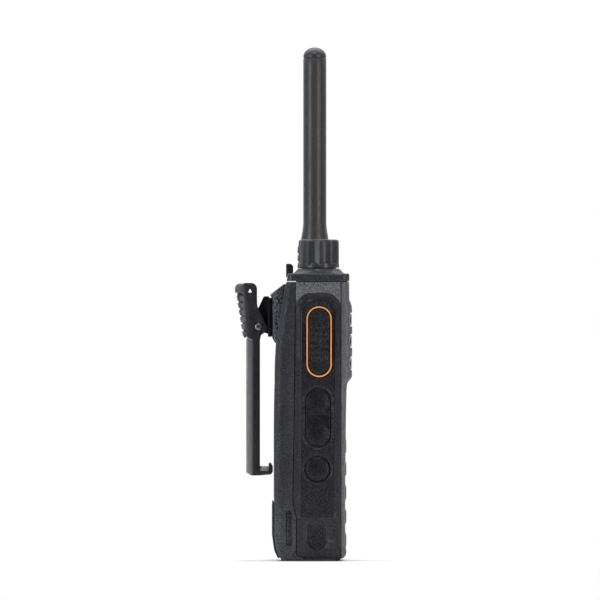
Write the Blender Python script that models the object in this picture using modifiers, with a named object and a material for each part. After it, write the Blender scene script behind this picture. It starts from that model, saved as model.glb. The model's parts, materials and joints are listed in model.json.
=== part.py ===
"""Handheld two-way radio: an assembly of separate pieces.

Frame: +X towards the radio's front (display side), -Y towards the push-to-talk side, +Z up.
The origin is the middle of the base. Sizes below are millimetres; MM turns them into metres.
"""
import math

import bmesh
import bpy
from mathutils import Matrix, Vector

MM = 0.001
GAP = 0.3                    # clearance between neighbouring pieces

# Driving dimensions
HALF_WIDTH = 27.0            # side faces of the body
PROUD = 0.6                  # how far the button collar and socket cover stand off the sides
BODY_TOP = 104.5             # top of housing and battery
CAP_BOTTOM = 104.8
CAP_TOP = 107.6
PANEL_BACK = 17.95           # rear face of the front panel
HOUSING_FRONT = 17.65
WALL = 2.4                   # housing side wall
CORNER_STEPS = 4             # segments in each rounded corner of the body
BEYOND = 40.0                # how far cutters reach, past every outer face

KNOB_X, KNOB_Y = 9.5, -13.5
KNOB_RADIUS = 7.65
KNOB_BOTTOM, KNOB_TOP = 109.8, 120.4
KNOB_HOLE = 3.8              # radius of the hole for the knob's bushing
FLUTES = 11
FLUTE_DEPTH = 0.42
FLUTE_TURN = math.radians(2.0)

ANTENNA_X, ANTENNA_Y = 8.0, 13.0
ANTENNA_TIP = 192.7
WHIP_RADIUS = 4.35
ANTENNA_BASE = 109.6
ANTENNA_HOLE = 5.1

PTT_X, PTT_Z = 9.6, 82.1     # centre of the push-to-talk button
PTT_HALF_STRAIGHT = 8.5      # half length of the straight part
RING_OUTER, RING_INNER = 4.8, 4.0
PTT_HOLE = RING_OUTER + GAP
ROCKER_X, ROCKER_Z = 9.2, 53.65
ROCKER_HALF_STRAIGHT = 6.25
ROCKER_RADIUS = 4.5
SIDE_KEY_X, SIDE_KEY_Z, SIDE_KEY_RADIUS = 9.0, 34.4, 4.6
POCKET_FLOOR = 25.6          # depth of the side pockets, measured from the middle plane

KEY_ROWS = (34.4, 25.5, 16.6, 7.7)
KEY_COLUMNS = (-16.0, 0.0, 16.0)
KEY_HALF_WIDTH, KEY_HALF_HEIGHT = 6.4, 2.7
KEY_FRONT = 19.8
NAV_Z = 43.1
CONTACT_PLACES = (-9.0, -3.0, 3.0, 9.0)
DISPLAY_LOW, DISPLAY_HIGH, DISPLAY_HALF = 49.0, 63.6, 17.5
SPEAKER_Z = 82.1
SLOT_CENTRES = (90.4, 82.4, 73.95)
SLOT_HALF_HEIGHT = 2.6

PIN_X, PIN_Z = -13.05, 87.7  # belt clip pivot
EAR_INNER, EAR_OUTER = 8.4, 10.4
TILT_X, TILT_Z = -2.0, 104.1 # edge about which the battery tilts out

# Side outline of the plane between battery and housing, top to bottom
SPLIT = ((0.7, 110.0), (0.7, 104.0), (0.4, 66.0), (-0.2, 24.6), (-0.1, 20.8), (1.05, 16.3),
         (1.05, 2.1), (4.1, 0.8), (4.6, 0.0), (4.6, -5.0))

BATTERY_PACK = ("battery_case", "battery_lid", "battery_cells", "battery_contacts", "battery_foot",
                "clip_mount", "clip_base", "clip_screw", "clip_pin", "clip_spring", "clip_lever", "clip_grip")

COLOURS = {
    "graphite": ((0.055, 0.056, 0.062), 0.55, 0.0),
    "grey": ((0.17, 0.17, 0.18), 0.5, 0.0),
    "black": ((0.022, 0.022, 0.025), 0.5, 0.0),
    "rubber": ((0.03, 0.03, 0.034), 0.75, 0.0),
    "orange": ((0.85, 0.3, 0.03), 0.45, 0.0),
    "textured": ((0.12, 0.12, 0.13), 0.8, 0.0),
    "aluminium": ((0.6, 0.6, 0.62), 0.4, 1.0),
    "steel": ((0.6, 0.6, 0.6), 0.3, 1.0),
    "brass": ((0.75, 0.55, 0.25), 0.35, 1.0),
    "board": ((0.02, 0.16, 0.07), 0.5, 0.0),
    "lens": ((0.02, 0.02, 0.025), 0.08, 0.0),
    "display": ((0.35, 0.42, 0.36), 0.4, 0.0),
    "cell": ((0.25, 0.3, 0.45), 0.5, 0.0),
}

for leftover in list(bpy.data.objects):
    bpy.data.objects.remove(leftover)
radio = bpy.data.collections.new("portable_radio")
tools = bpy.data.collections.new("cutters")
bpy.context.scene.collection.children.link(radio)
bpy.context.scene.collection.children.link(tools)


def make_materials():
    """One Principled material for each entry in COLOURS."""
    made = {}
    for name, (colour, roughness, metallic) in COLOURS.items():
        material = bpy.data.materials.new(name)
        material.use_nodes = True
        shader = material.node_tree.nodes["Principled BSDF"]
        shader.inputs["Base Color"].default_value = (*colour, 1.0)
        shader.inputs["Roughness"].default_value = roughness
        shader.inputs["Metallic"].default_value = metallic
        made[name] = material
    return made


MATERIALS = make_materials()


# ---------------------------------------------------------------- shapes

def new_object(name, mesh, material):
    """Link a mesh as a visible part, or as a cutter where it has no material."""
    item = bpy.data.objects.new(name, mesh)
    if material is None:
        tools.objects.link(item)
        item.hide_render = True
        item.display_type = "WIRE"
    else:
        radio.objects.link(item)
        item.data.materials.append(MATERIALS[material])
    return item


def from_bmesh(name, shape, material):
    mesh = bpy.data.meshes.new(name)
    bmesh.ops.recalc_face_normals(shape, faces=shape.faces)
    shape.to_mesh(mesh)
    shape.free()
    return new_object(name, mesh, material)


def add_box(shape, x, y, z):
    """Add a cuboid between the (low, high) pairs x, y and z to a bmesh."""
    size = Matrix.Diagonal(((x[1] - x[0]) * MM, (y[1] - y[0]) * MM, (z[1] - z[0]) * MM, 1.0))
    middle = Vector(((x[0] + x[1]) / 2, (y[0] + y[1]) / 2, (z[0] + z[1]) / 2)) * MM
    bmesh.ops.create_cube(shape, size=1.0, matrix=Matrix.Translation(middle) @ size)


def boxes(name, spans, material=None):
    """One object of one or more separate cuboids, each given as (x, y, z) pairs."""
    shape = bmesh.new()
    for x, y, z in spans:
        add_box(shape, x, y, z)
    return from_bmesh(name, shape, material)


def box(name, x, y, z, material=None):
    return boxes(name, [(x, y, z)], material)


AXIS_TURN = {
    "X": Matrix.Rotation(math.pi / 2, 4, "Y"),
    "Y": Matrix.Rotation(-math.pi / 2, 4, "X"),
    "Z": Matrix.Identity(4),
}


def add_cylinder(shape, centre, axis, radius, low, high, segments):
    """Add a cylinder whose ends lie at low and high along its axis."""
    middle = Vector(centre)
    middle["XYZ".index(axis)] = (low + high) / 2
    place = Matrix.Translation(middle * MM) @ AXIS_TURN[axis]
    bmesh.ops.create_cone(shape, cap_ends=True, segments=segments, radius1=radius * MM,
                          radius2=radius * MM, depth=(high - low) * MM, matrix=place)


def cylinder(name, centre, axis, radius, low, high, material=None, segments=32):
    shape = bmesh.new()
    add_cylinder(shape, centre, axis, radius, low, high, segments)
    return smooth(from_bmesh(name, shape, material))


def turned(name, profile, centre, material=None, steps=40):
    """Turn an (r, z) profile about the vertical line through centre; it runs top to bottom."""
    mesh = bpy.data.meshes.new(name)
    points = [(r * MM, 0.0, z * MM) for r, z in profile]
    mesh.from_pydata(points, [(i, i + 1) for i in range(len(points) - 1)], [])
    item = new_object(name, mesh, material)
    item.location = Vector((centre[0], centre[1], 0.0)) * MM
    screw = item.modifiers.new("turn", "SCREW")
    screw.axis = "Z"
    screw.angle = 2 * math.pi
    screw.steps = steps
    screw.render_steps = steps
    screw.use_merge_vertices = True
    screw.merge_threshold = 1e-5
    screw.use_smooth_shade = True
    return bake(item)


def plate(name, outline, low, high, material=None):
    """A flat (x, z) outline given thickness from y = low to y = high."""
    curve = bpy.data.curves.new(name, "CURVE")
    curve.dimensions = "2D"
    curve.fill_mode = "BOTH"
    curve.extrude = (high - low) / 2 * MM
    spline = curve.splines.new("POLY")
    spline.points.add(len(outline) - 1)
    for point, (x, z) in zip(spline.points, outline):
        point.co = (x * MM, z * MM, 0.0, 1.0)
    spline.use_cyclic_u = True
    flat = bpy.data.objects.new(name + "_outline", curve)
    tools.objects.link(flat)
    middle = (low + high) / 2 * MM
    flat.matrix_world = Matrix.Translation((0, middle, 0)) @ Matrix.Rotation(math.pi / 2, 4, "X")
    bpy.context.view_layer.update()
    graph = bpy.context.evaluated_depsgraph_get()
    mesh = bpy.data.meshes.new_from_object(flat.evaluated_get(graph))
    mesh.transform(flat.matrix_world)
    bpy.data.objects.remove(flat)
    shape = bmesh.new()
    shape.from_mesh(mesh)
    bmesh.ops.remove_doubles(shape, verts=shape.verts, dist=1e-6)
    bpy.data.meshes.remove(mesh)
    return from_bmesh(name, shape, material)


def loft(name, sections, material=None):
    """Skin horizontal sections that have equal point counts; each is a list of (x, y, z)."""
    shape = bmesh.new()
    rings = [[shape.verts.new(Vector(p) * MM) for p in section] for section in sections]
    for lower, upper in zip(rings, rings[1:]):
        for i in range(len(lower)):
            j = (i + 1) % len(lower)
            shape.faces.new((lower[i], lower[j], upper[j], upper[i]))
    shape.faces.new(list(reversed(rings[0])))
    shape.faces.new(rings[-1])
    return from_bmesh(name, shape, material)


# ---------------------------------------------------------------- outlines

def arc(centre, radius, start, end, steps):
    """Points of an arc; angles in degrees."""
    points = []
    for i in range(steps + 1):
        angle = math.radians(start + (end - start) * i / steps)
        points.append((centre[0] + radius * math.cos(angle), centre[1] + radius * math.sin(angle)))
    return points


def stadium(centre, half_straight, radius, steps=10):
    """Upright outline with two straight sides and two half-round ends."""
    upper = (centre[0], centre[1] + half_straight)
    lower = (centre[0], centre[1] - half_straight)
    return arc(upper, radius, 0, 180, steps) + arc(lower, radius, 180, 360, steps)


def rounded_rectangle(x, y, radii, steps):
    """Corners in the order low-low, high-low, high-high, low-high."""
    r0, r1, r2, r3 = radii
    return (arc((x[0] + r0, y[0] + r0), r0, 180, 270, steps)
            + arc((x[1] - r1, y[0] + r1), r1, 270, 360, steps)
            + arc((x[1] - r2, y[1] - r2), r2, 0, 90, steps)
            + arc((x[0] + r3, y[1] - r3), r3, 90, 180, steps))


def body_section(z, back, front, half, back_radius, front_radius):
    outline = rounded_rectangle((back, front), (-half, half),
                                (back_radius, front_radius, front_radius, back_radius), CORNER_STEPS)
    return [(x, y, z) for x, y in outline]


# ---------------------------------------------------------------- modifiers

def bake(item):
    """Apply an object's modifiers, so that it can be cut or can cut."""
    bpy.context.view_layer.update()
    graph = bpy.context.evaluated_depsgraph_get()
    mesh = bpy.data.meshes.new_from_object(item.evaluated_get(graph))
    mesh.name = item.name
    item.modifiers.clear()
    item.data = mesh
    return item


def combine(target, other, operation):
    modifier = target.modifiers.new(operation.lower(), "BOOLEAN")
    modifier.operation = operation
    modifier.solver = "EXACT"
    modifier.object = other
    return target


def cut(target, *cutters):
    for cutter in cutters:
        combine(target, cutter, "DIFFERENCE")
    return target


def join(target, *others):
    for other in others:
        combine(target, other, "UNION")
    return target


def round_edges(item, width, segments=2, angle=40):
    bevel = item.modifiers.new("round", "BEVEL")
    bevel.width = width * MM
    bevel.segments = segments
    bevel.limit_method = "ANGLE"
    bevel.angle_limit = math.radians(angle)
    return item


def smooth(item, angle=35):
    item.data.shade_smooth()
    item.data.set_sharp_from_angle(angle=math.radians(angle))
    return item


def pivot(item, x, y, z):
    """Put the object's origin on its joint, leaving its shape where it is."""
    place = Vector((x, y, z)) * MM
    item.data.transform(Matrix.Translation(item.location - place))
    item.location = place
    return item


# ---------------------------------------------------------------- body envelope

# Outside of radio body and battery: height, back, front, half width, rear and front corner radii
BODY_STATIONS = (
    (0.0, -4.0, 16.8, 25.6, 1.6, 1.8),
    (1.2, -5.0, 18.7, 26.3, 2.0, 2.2),
    (2.3, -5.7, 19.7, 26.8, 2.4, 2.5),
    (3.6, -6.25, 19.9, 27.0, 2.6, 2.6),
    (5.8, -6.75, 19.5, 27.0, 2.8, 2.6),
    (10.0, -7.1, 19.4, 27.0, 3.0, 2.6),
    (19.0, -7.1, 19.4, 27.0, 3.0, 2.6),
    (25.0, -7.4, 19.4, 27.0, 3.0, 2.6),
    (48.0, -7.4, 19.6, 27.0, 3.0, 2.6),
    (64.2, -7.2, 19.9, 27.0, 3.0, 2.6),
    (66.4, -7.1, 20.2, 27.0, 3.0, 2.8),
    (69.2, -7.1, 21.9, 27.0, 3.0, 3.0),
    (81.5, -6.6, 22.0, 27.0, 3.0, 3.0),
    (85.8, -5.9, 22.0, 27.0, 3.0, 3.0),
    (91.2, -5.2, 22.0, 27.0, 3.0, 3.0),
    (95.5, -4.4, 21.8, 27.0, 3.0, 3.0),
    (98.2, -3.95, 20.9, 27.0, 2.8, 2.8),
    (102.4, -3.3, 20.9, 27.0, 2.6, 2.8),
    (BODY_TOP, -2.6, 20.8, 26.8, 2.4, 2.6),
)
envelope = loft("body_envelope", [body_section(*station) for station in BODY_STATIONS])


def split_region(name, shift, far_x, material):
    """Solid on one side of the battery split, moved by shift to leave the gap."""
    outline = [(x + shift, z) for x, z in SPLIT]
    outline += [(far_x, SPLIT[-1][1]), (far_x, SPLIT[0][1])]
    return plate(name, outline, -BEYOND, BEYOND, material)


def ptt_outline(radius):
    return stadium((PTT_X, PTT_Z), PTT_HALF_STRAIGHT, radius)


def rocker_outline(radius):
    return stadium((ROCKER_X, ROCKER_Z), ROCKER_HALF_STRAIGHT, radius)


def panel_outline(grow):
    """Side panel: leaning sides and an arched top round the push-to-talk button."""
    bottom = 16.4 - grow
    lower = [(2.8 - grow, bottom), (14.95 + grow, bottom)]
    return lower + arc((9.45, 91.7), 6.1 + grow, 0, 180, 14)


# ---------------------------------------------------------------- housing

def make_housing():
    housing = split_region("housing", 0.15, HOUSING_FRONT, "graphite")
    combine(housing, envelope, "INTERSECT")
    collar = plate("collar", rounded_rectangle((1.8, 17.3), (74.8, 100.3), (0.6, 0.6, 4.5, 4.5), 5),
                   -HALF_WIDTH - PROUD, -HALF_WIDTH + 1.2)
    join(housing, collar)
    inner = HALF_WIDTH - WALL
    cavity = box("housing_cavity", (-6.0, 25.0), (-inner, inner), (3.9, 101.6))
    side_pocket = plate("side_pocket", panel_outline(GAP), -BEYOND, -POCKET_FLOOR)
    ptt_hole = plate("ptt_hole", ptt_outline(PTT_HOLE), -BEYOND, -20.0)
    rocker_hole = box("rocker_hole", (6.7, 11.7), (-BEYOND, -20.0), (ROCKER_Z - 6.5, ROCKER_Z + 6.5))
    key_hole = cylinder("side_key_hole", (SIDE_KEY_X, 0, SIDE_KEY_Z), "Y", 2.3, -BEYOND, -20.0, segments=20)
    scoop = plate("scoop", stadium((8.8, 10.2), 2.2, 3.4, 7), -BEYOND, -HALF_WIDTH + 0.8)
    far_scoop = plate("far_scoop", stadium((8.8, 10.2), 2.2, 3.4, 7), HALF_WIDTH - 0.8, BEYOND)
    cover_pocket = box("cover_pocket", (2.6, 15.2), (POCKET_FLOOR, BEYOND), (69.7, 97.3))
    socket_hole = box("socket_hole", (4.2, 13.8), (20.0, BEYOND), (74.2, 92.8))
    knob_hole = cylinder("knob_hole", (KNOB_X, KNOB_Y, 0), "Z", KNOB_HOLE, 99.0, 112.0, segments=24)
    antenna_hole = cylinder("antenna_hole", (ANTENNA_X, ANTENNA_Y, 0), "Z", ANTENNA_HOLE, 99.0, 112.0,
                            segments=24)
    latch_hole = box("latch_hole", (6.0, 12.4), (-8.3, 8.3), (-2.0, 6.0))
    hook_slot = box("hook_slot", (5.2, 7.0), (-5.3, 5.3), (2.2, 6.0))
    return cut(housing, cavity, side_pocket, ptt_hole, rocker_hole, key_hole, scoop, far_scoop,
               cover_pocket, socket_hole, knob_hole, antenna_hole, latch_hole, hook_slot)


def key_places():
    """Names and centres (y, z) of the number keys, row by row."""
    names = ("1", "2", "3", "4", "5", "6", "7", "8", "9", "star", "0", "hash")
    places = []
    for index, name in enumerate(names):
        row, column = divmod(index, 3)
        places.append(("key_" + name, KEY_COLUMNS[column], KEY_ROWS[row]))
    return places


def make_front_panel():
    panel = box("front_panel", (PANEL_BACK, BEYOND), (-BEYOND, BEYOND), (-5.0, 110.0), "grey")
    combine(panel, envelope, "INTERSECT")
    holes = []
    for _, y, z in key_places():
        holes.append(((10.0, BEYOND), (y - KEY_HALF_WIDTH - GAP, y + KEY_HALF_WIDTH + GAP),
                      (z - KEY_HALF_HEIGHT - GAP, z + KEY_HALF_HEIGHT + GAP)))
    for y in KEY_COLUMNS:
        half = nav_half_width(y) + GAP
        holes.append(((10.0, BEYOND), (y - half, y + half), (NAV_Z - 3.0 - GAP, NAV_Z + 3.0 + GAP)))
    window = ((10.0, BEYOND), (-DISPLAY_HALF, DISPLAY_HALF), (DISPLAY_LOW, DISPLAY_HIGH))
    openings = boxes("front_openings", holes + [window])
    cavity = box("speaker_cavity", (10.0, 19.6), (-16.0, 16.0), (68.4, 96.0))
    mic_hole = cylinder("mic_hole", (0, 18.5, 66.6), "X", 0.7, 10.0, BEYOND, segments=12)
    cut(panel, openings, cavity, mic_hole)
    for index, z in enumerate(SLOT_CENTRES):
        outline = rounded_rectangle((20.45, 26.0), (z - SLOT_HALF_HEIGHT, z + SLOT_HALF_HEIGHT),
                                    (1.4, 0.5, 0.5, 1.4), 4)
        cut(panel, plate(f"slot_{index}", outline, -BEYOND, BEYOND))
        cut(panel, box(f"sound_window_{index}", (19.0, 21.0), (-15.0, 15.0),
                       (z - SLOT_HALF_HEIGHT + 0.5, z + SLOT_HALF_HEIGHT - 0.5)))
    return panel


def nav_half_width(y):
    return 8.0 if y == 0.0 else 5.0


def front_key(name, y, z, half_width, half_height, material):
    """A key cap with a flange behind the front panel; its origin is on its line of travel."""
    shape = bmesh.new()
    add_box(shape, (17.0, KEY_FRONT), (y - half_width, y + half_width), (z - half_height, z + half_height))
    cap = from_bmesh(name, shape, material)
    face = [edge for edge in cap.data.edges
            if all(abs(cap.data.vertices[i].co.x - KEY_FRONT * MM) < 1e-6 for i in edge.vertices)]
    weights = cap.data.attributes.new("bevel_weight_edge", "FLOAT", "EDGE")
    for edge in face:
        weights.data[edge.index].value = 1.0
    bevel = cap.modifiers.new("round", "BEVEL")
    bevel.limit_method = "WEIGHT"
    bevel.width = 0.5 * MM
    bevel.segments = 2
    flange = box(name + "_flange", (16.7, 17.6), (y - half_width - 0.7, y + half_width + 0.7),
                 (z - half_height - 0.7, z + half_height + 0.7))
    join(cap, flange)
    return pivot(cap, 17.6, y, z)


def make_front():
    make_front_panel()
    for name, y, z in key_places():
        front_key(name, y, z, KEY_HALF_WIDTH, KEY_HALF_HEIGHT, "rubber")
    front_key("key_menu", KEY_COLUMNS[0], NAV_Z, nav_half_width(KEY_COLUMNS[0]), 3.0, "rubber")
    front_key("nav_pad", KEY_COLUMNS[1], NAV_Z, nav_half_width(KEY_COLUMNS[1]), 3.0, "rubber")
    front_key("key_back", KEY_COLUMNS[2], NAV_Z, nav_half_width(KEY_COLUMNS[2]), 3.0, "rubber")
    box("keypad_mat", (14.8, 15.8), (-22.6, 22.6), (4.8, 47.4), "rubber")
    box("display_module", (15.0, 17.5), (-19.0, 19.0), (48.0, 64.4), "display")
    box("display_lens", (18.3, 19.2), (-DISPLAY_HALF + GAP, DISPLAY_HALF - GAP),
        (DISPLAY_LOW + GAP, DISPLAY_HIGH - GAP), "lens")
    box("speaker_mesh", (18.8, 19.25), (-15.6, 15.6), (68.8, 95.6), "steel")
    make_speaker()
    cylinder("microphone", (0, 18.5, 66.6), "X", 2.2, 14.3, 17.4, "steel", 20)


def make_speaker():
    """Loudspeaker: basket and magnet turned as one piece, lying on its side behind the slots."""
    profile = [(0.0, 18.3), (7.0, 17.4), (12.0, 18.0), (13.4, 18.4), (13.4, 17.2), (9.0, 15.4),
               (9.0, 14.2), (0.0, 14.2)]
    speaker = turned("speaker", profile, (0, 0), "black", 24)
    speaker.data.transform(AXIS_TURN["X"])
    speaker.location = Vector((0, 0, SPEAKER_Z)) * MM
    return smooth(speaker)


# ---------------------------------------------------------------- top

def make_top():
    stations = ((CAP_BOTTOM, -2.6, 20.95, 26.9, 2.4, 2.8), (107.1, -2.2, 20.95, 26.9, 2.4, 2.8),
                (CAP_TOP, -1.9, 20.6, 26.5, 2.2, 2.6))
    cap = loft("top_cap", [body_section(*station) for station in stations], "black")
    shoulder = [(0.0, 109.45), (7.9, 109.45), (8.1, 109.1), (9.3, 107.9), (10.0, 107.6),
                (10.0, 106.0), (0.0, 106.0)]
    boss = [(0.0, 108.2), (7.2, 108.2), (8.4, 107.6), (8.4, 106.0), (0.0, 106.0)]
    join(cap, turned("knob_shoulder", shoulder, (KNOB_X, KNOB_Y), None, 30),
         turned("antenna_boss", boss, (ANTENNA_X, ANTENNA_Y), None, 30))
    cut(cap, cylinder("cap_knob_hole", (KNOB_X, KNOB_Y, 0), "Z", KNOB_HOLE, 99.0, 112.0, segments=24),
        cylinder("cap_antenna_hole", (ANTENNA_X, ANTENNA_Y, 0), "Z", ANTENNA_HOLE, 99.0, 112.0,
                 segments=24))
    lug_side = [(-2.8, 107.9), (-0.1, 107.9), (-0.1, 110.4), (-1.0, 111.3), (-2.8, 111.3)]
    lug = plate("strap_lug", lug_side, -6.5, 6.5, "black")
    cut(lug, box("lug_slot", (-5.0, 2.0), (-4.3, 4.3), (106.0, 109.8)))


def make_knob():
    """Fluted knob, its shaft and the switch that the shaft turns."""
    outer = []
    steps = 4
    for flute in range(FLUTES):
        for step in range(steps):
            share = step / steps
            dip = FLUTE_DEPTH * math.sin(math.pi * share)
            angle = 2 * math.pi * (flute + share) / FLUTES - math.pi / 2 + FLUTE_TURN
            outer.append((KNOB_X + (KNOB_RADIUS - dip) * math.cos(angle),
                          KNOB_Y + (KNOB_RADIUS - dip) * math.sin(angle)))
    sections = []
    for z, shrink in ((KNOB_BOTTOM, 0.0), (KNOB_TOP - 0.9, 0.0), (KNOB_TOP - 0.35, 0.25),
                      (KNOB_TOP, 0.9)):
        scale = 1.0 - shrink / KNOB_RADIUS
        sections.append([(KNOB_X + (x - KNOB_X) * scale, KNOB_Y + (y - KNOB_Y) * scale, z)
                         for x, y in outer])
    knob = loft("volume_knob", sections, "black")
    cut(knob, cylinder("knob_bore", (KNOB_X, KNOB_Y, 0), "Z", 2.9, 105.0, 117.3, segments=24))
    pivot(knob, KNOB_X, KNOB_Y, KNOB_BOTTOM)
    shaft = cylinder("volume_shaft", (KNOB_X, KNOB_Y, 0), "Z", 2.6, 103.0, 117.0, "aluminium", 24)
    pivot(shaft, KNOB_X, KNOB_Y, KNOB_BOTTOM)
    pot = box("volume_pot", (4.2, 14.6), (KNOB_Y - 5.4, KNOB_Y + 5.4), (93.0, 101.2), "steel")
    bushing = cylinder("pot_bushing", (KNOB_X, KNOB_Y, 0), "Z", 3.45, 100.0, 108.6, segments=24)
    join(pot, bushing)
    cut(pot, cylinder("pot_bore", (KNOB_X, KNOB_Y, 0), "Z", 2.95, 102.5, 112.0, segments=24))


def make_antenna():
    """Whip with a ringed base, its threaded stud, the socket that takes it and the gasket."""
    dome = [(WHIP_RADIUS * math.cos(math.radians(a)),
             189.1 + (ANTENNA_TIP - 189.1) * math.sin(math.radians(a)))
            for a in range(66, -1, -22)]
    profile = [(0.0, ANTENNA_TIP)] + dome
    profile += [(4.05, 188.95), (4.05, 188.65), (WHIP_RADIUS, 188.5), (WHIP_RADIUS, 125.8), (4.65, 123.9),
                (5.1, 121.0), (5.3, 119.4), (5.75, 118.4), (6.25, 117.9), (6.5, 117.2)]
    for groove_top in (115.3, 112.4):
        profile += [(6.5, groove_top), (6.1, groove_top - 0.25), (6.1, groove_top - 0.65),
                    (6.5, groove_top - 0.9)]
    profile += [(6.5, ANTENNA_BASE), (3.3, ANTENNA_BASE), (3.3, 114.0), (0.0, 114.0)]
    whip = turned("antenna_whip", profile, (ANTENNA_X, ANTENNA_Y), "rubber", 26)
    pivot(whip, ANTENNA_X, ANTENNA_Y, ANTENNA_BASE)
    stud = cylinder("antenna_stud", (ANTENNA_X, ANTENNA_Y, 0), "Z", 2.9, 101.0, 113.6, "brass", 24)
    pivot(stud, ANTENNA_X, ANTENNA_Y, ANTENNA_BASE)
    ring = [(6.3, 109.25), (6.3, 108.55), (5.1, 108.55), (5.1, 109.25), (6.3, 109.25)]
    turned("antenna_gasket", ring, (ANTENNA_X, ANTENNA_Y), "rubber", 24)
    tube = [(4.8, 108.7), (4.8, 102.2), (3.9, 102.2), (3.9, 94.0), (3.3, 94.0), (3.3, 108.7), (4.8, 108.7)]
    turned("antenna_socket", tube, (ANTENNA_X, ANTENNA_Y), "brass", 20)


# ---------------------------------------------------------------- side keys

def make_side_keys():
    panel = plate("side_panel", panel_outline(0.0), -26.8, -POCKET_FLOOR - GAP, "rubber")
    cut(panel, plate("panel_ptt_hole", ptt_outline(PTT_HOLE), -BEYOND, -20.0),
        plate("panel_rocker_hole", rocker_outline(ROCKER_RADIUS + GAP), -BEYOND, -20.0),
        cylinder("panel_key_hole", (SIDE_KEY_X, 0, SIDE_KEY_Z), "Y", SIDE_KEY_RADIUS + GAP, -BEYOND, -20.0,
                 segments=28))

    button = plate("ptt_button", ptt_outline(RING_OUTER), -26.4, -24.0, "rubber")
    pad = round_edges(plate("ptt_pad", ptt_outline(RING_INNER - GAP), -HALF_WIDTH - PROUD, -26.0), 0.35, 2)
    join(button, pad)
    pivot(button, PTT_X, -24.0, PTT_Z)
    ring = plate("ptt_ring", ptt_outline(RING_OUTER), -27.4, -26.7, "orange")
    cut(ring, plate("ring_hole", ptt_outline(RING_INNER), -BEYOND, -20.0))
    pivot(ring, PTT_X, -24.0, PTT_Z)

    rocker = plate("side_rocker", rocker_outline(ROCKER_RADIUS), -27.4, -26.4, "rubber")
    round_edges(rocker, 0.35, 2)
    join(rocker, box("rocker_stem", (7.2, 11.2), (-26.9, -24.0), (ROCKER_Z - 6.0, ROCKER_Z + 6.0)))
    pivot(rocker, ROCKER_X, -25.2, ROCKER_Z)

    key = cylinder("side_key", (SIDE_KEY_X, 0, SIDE_KEY_Z), "Y", SIDE_KEY_RADIUS, -27.4, -26.4,
                   "rubber", 28)
    round_edges(key, 0.35, 2)
    join(key, cylinder("side_key_stem", (SIDE_KEY_X, 0, SIDE_KEY_Z), "Y", 1.8, -26.9, -24.2, segments=16))
    pivot(key, SIDE_KEY_X, -24.2, SIDE_KEY_Z)

    board = box("side_switches", (5.6, 12.4), (-21.6, -20.9), (29.0, 92.5), "board")
    presses = ((PTT_Z, -22.9), (ROCKER_Z + 4.4, -23.4), (ROCKER_Z - 4.4, -23.4), (SIDE_KEY_Z, -23.4))
    for index, (z, top) in enumerate(presses):
        join(board, box(f"switch_{index}", (7.2, 10.8), (top, -21.2), (z - 1.8, z + 1.8)))


def make_accessory():
    """Socket in the far side and the hinged cover over it."""
    socket = box("accessory_socket", (4.5, 13.5), (20.9, 25.3), (74.5, 92.5), "black")
    cut(socket, cylinder("jack_large", (9.0, 0, 87.0), "Y", 1.8, 22.0, BEYOND, segments=16),
        cylinder("jack_small", (9.0, 0, 79.5), "Y", 1.3, 22.0, BEYOND, segments=16))
    cover = box("accessory_cover", (2.9, 14.9), (POCKET_FLOOR + GAP, HALF_WIDTH + PROUD), (70.0, 97.0),
                "rubber")
    round_edges(cover, 0.5, 2)
    pivot(cover, 3.5, 27.0, 83.5)


# ---------------------------------------------------------------- inside

def make_inside():
    chassis = box("chassis", (1.5, 2.7), (-24.2, 24.2), (4.3, 101.2), "aluminium")
    join(chassis, box("chassis_tray", (2.0, 3.8), (-23.0, 23.0), (5.6, 100.0)))
    cut(chassis, box("tray_hollow", (3.1, 6.0), (-21.4, 21.4), (7.2, 98.4)),
        box("contact_window", (0.0, 6.0), (-11.6, 11.6), (8.5, 14.5)))
    for side, y in (("near", -18.5), ("far", 18.5)):
        cut(chassis, cylinder(f"{side}_screw_hole", (0, y, 18.0), "X", 1.6, 0.0, 6.0, segments=16))
        cylinder(f"chassis_screw_{side}", (0, y, 18.0), "X", 1.3, 1.2, 7.5, "steel", 16)

    seal = box("case_seal", (3.0, 3.8), (-24.3, 24.3), (4.2, 101.3), "rubber")
    cut(seal, box("seal_hole", (2.0, 6.0), (-23.4, 23.4), (5.2, 100.4)))

    box("main_board", (12.7, 13.8), (-20.5, 20.5), (8.0, 91.0), "board")
    shield = box("rf_shield", (8.4, 12.4), (-17.0, 17.0), (36.0, 90.0), "steel")
    cut(shield, box("shield_hollow", (8.9, 14.0), (-16.5, 16.5), (36.5, 89.5)))
    pins = box("radio_contacts", (4.8, 12.3), (-10.8, 10.8), (9.2, 13.8), "brass")
    for index, y in enumerate(CONTACT_PLACES):
        join(pins, box(f"contact_pin_{index}", (1.3, 6.0), (y - 0.7, y + 0.7), (10.8, 12.2)))


# ---------------------------------------------------------------- battery

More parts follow.
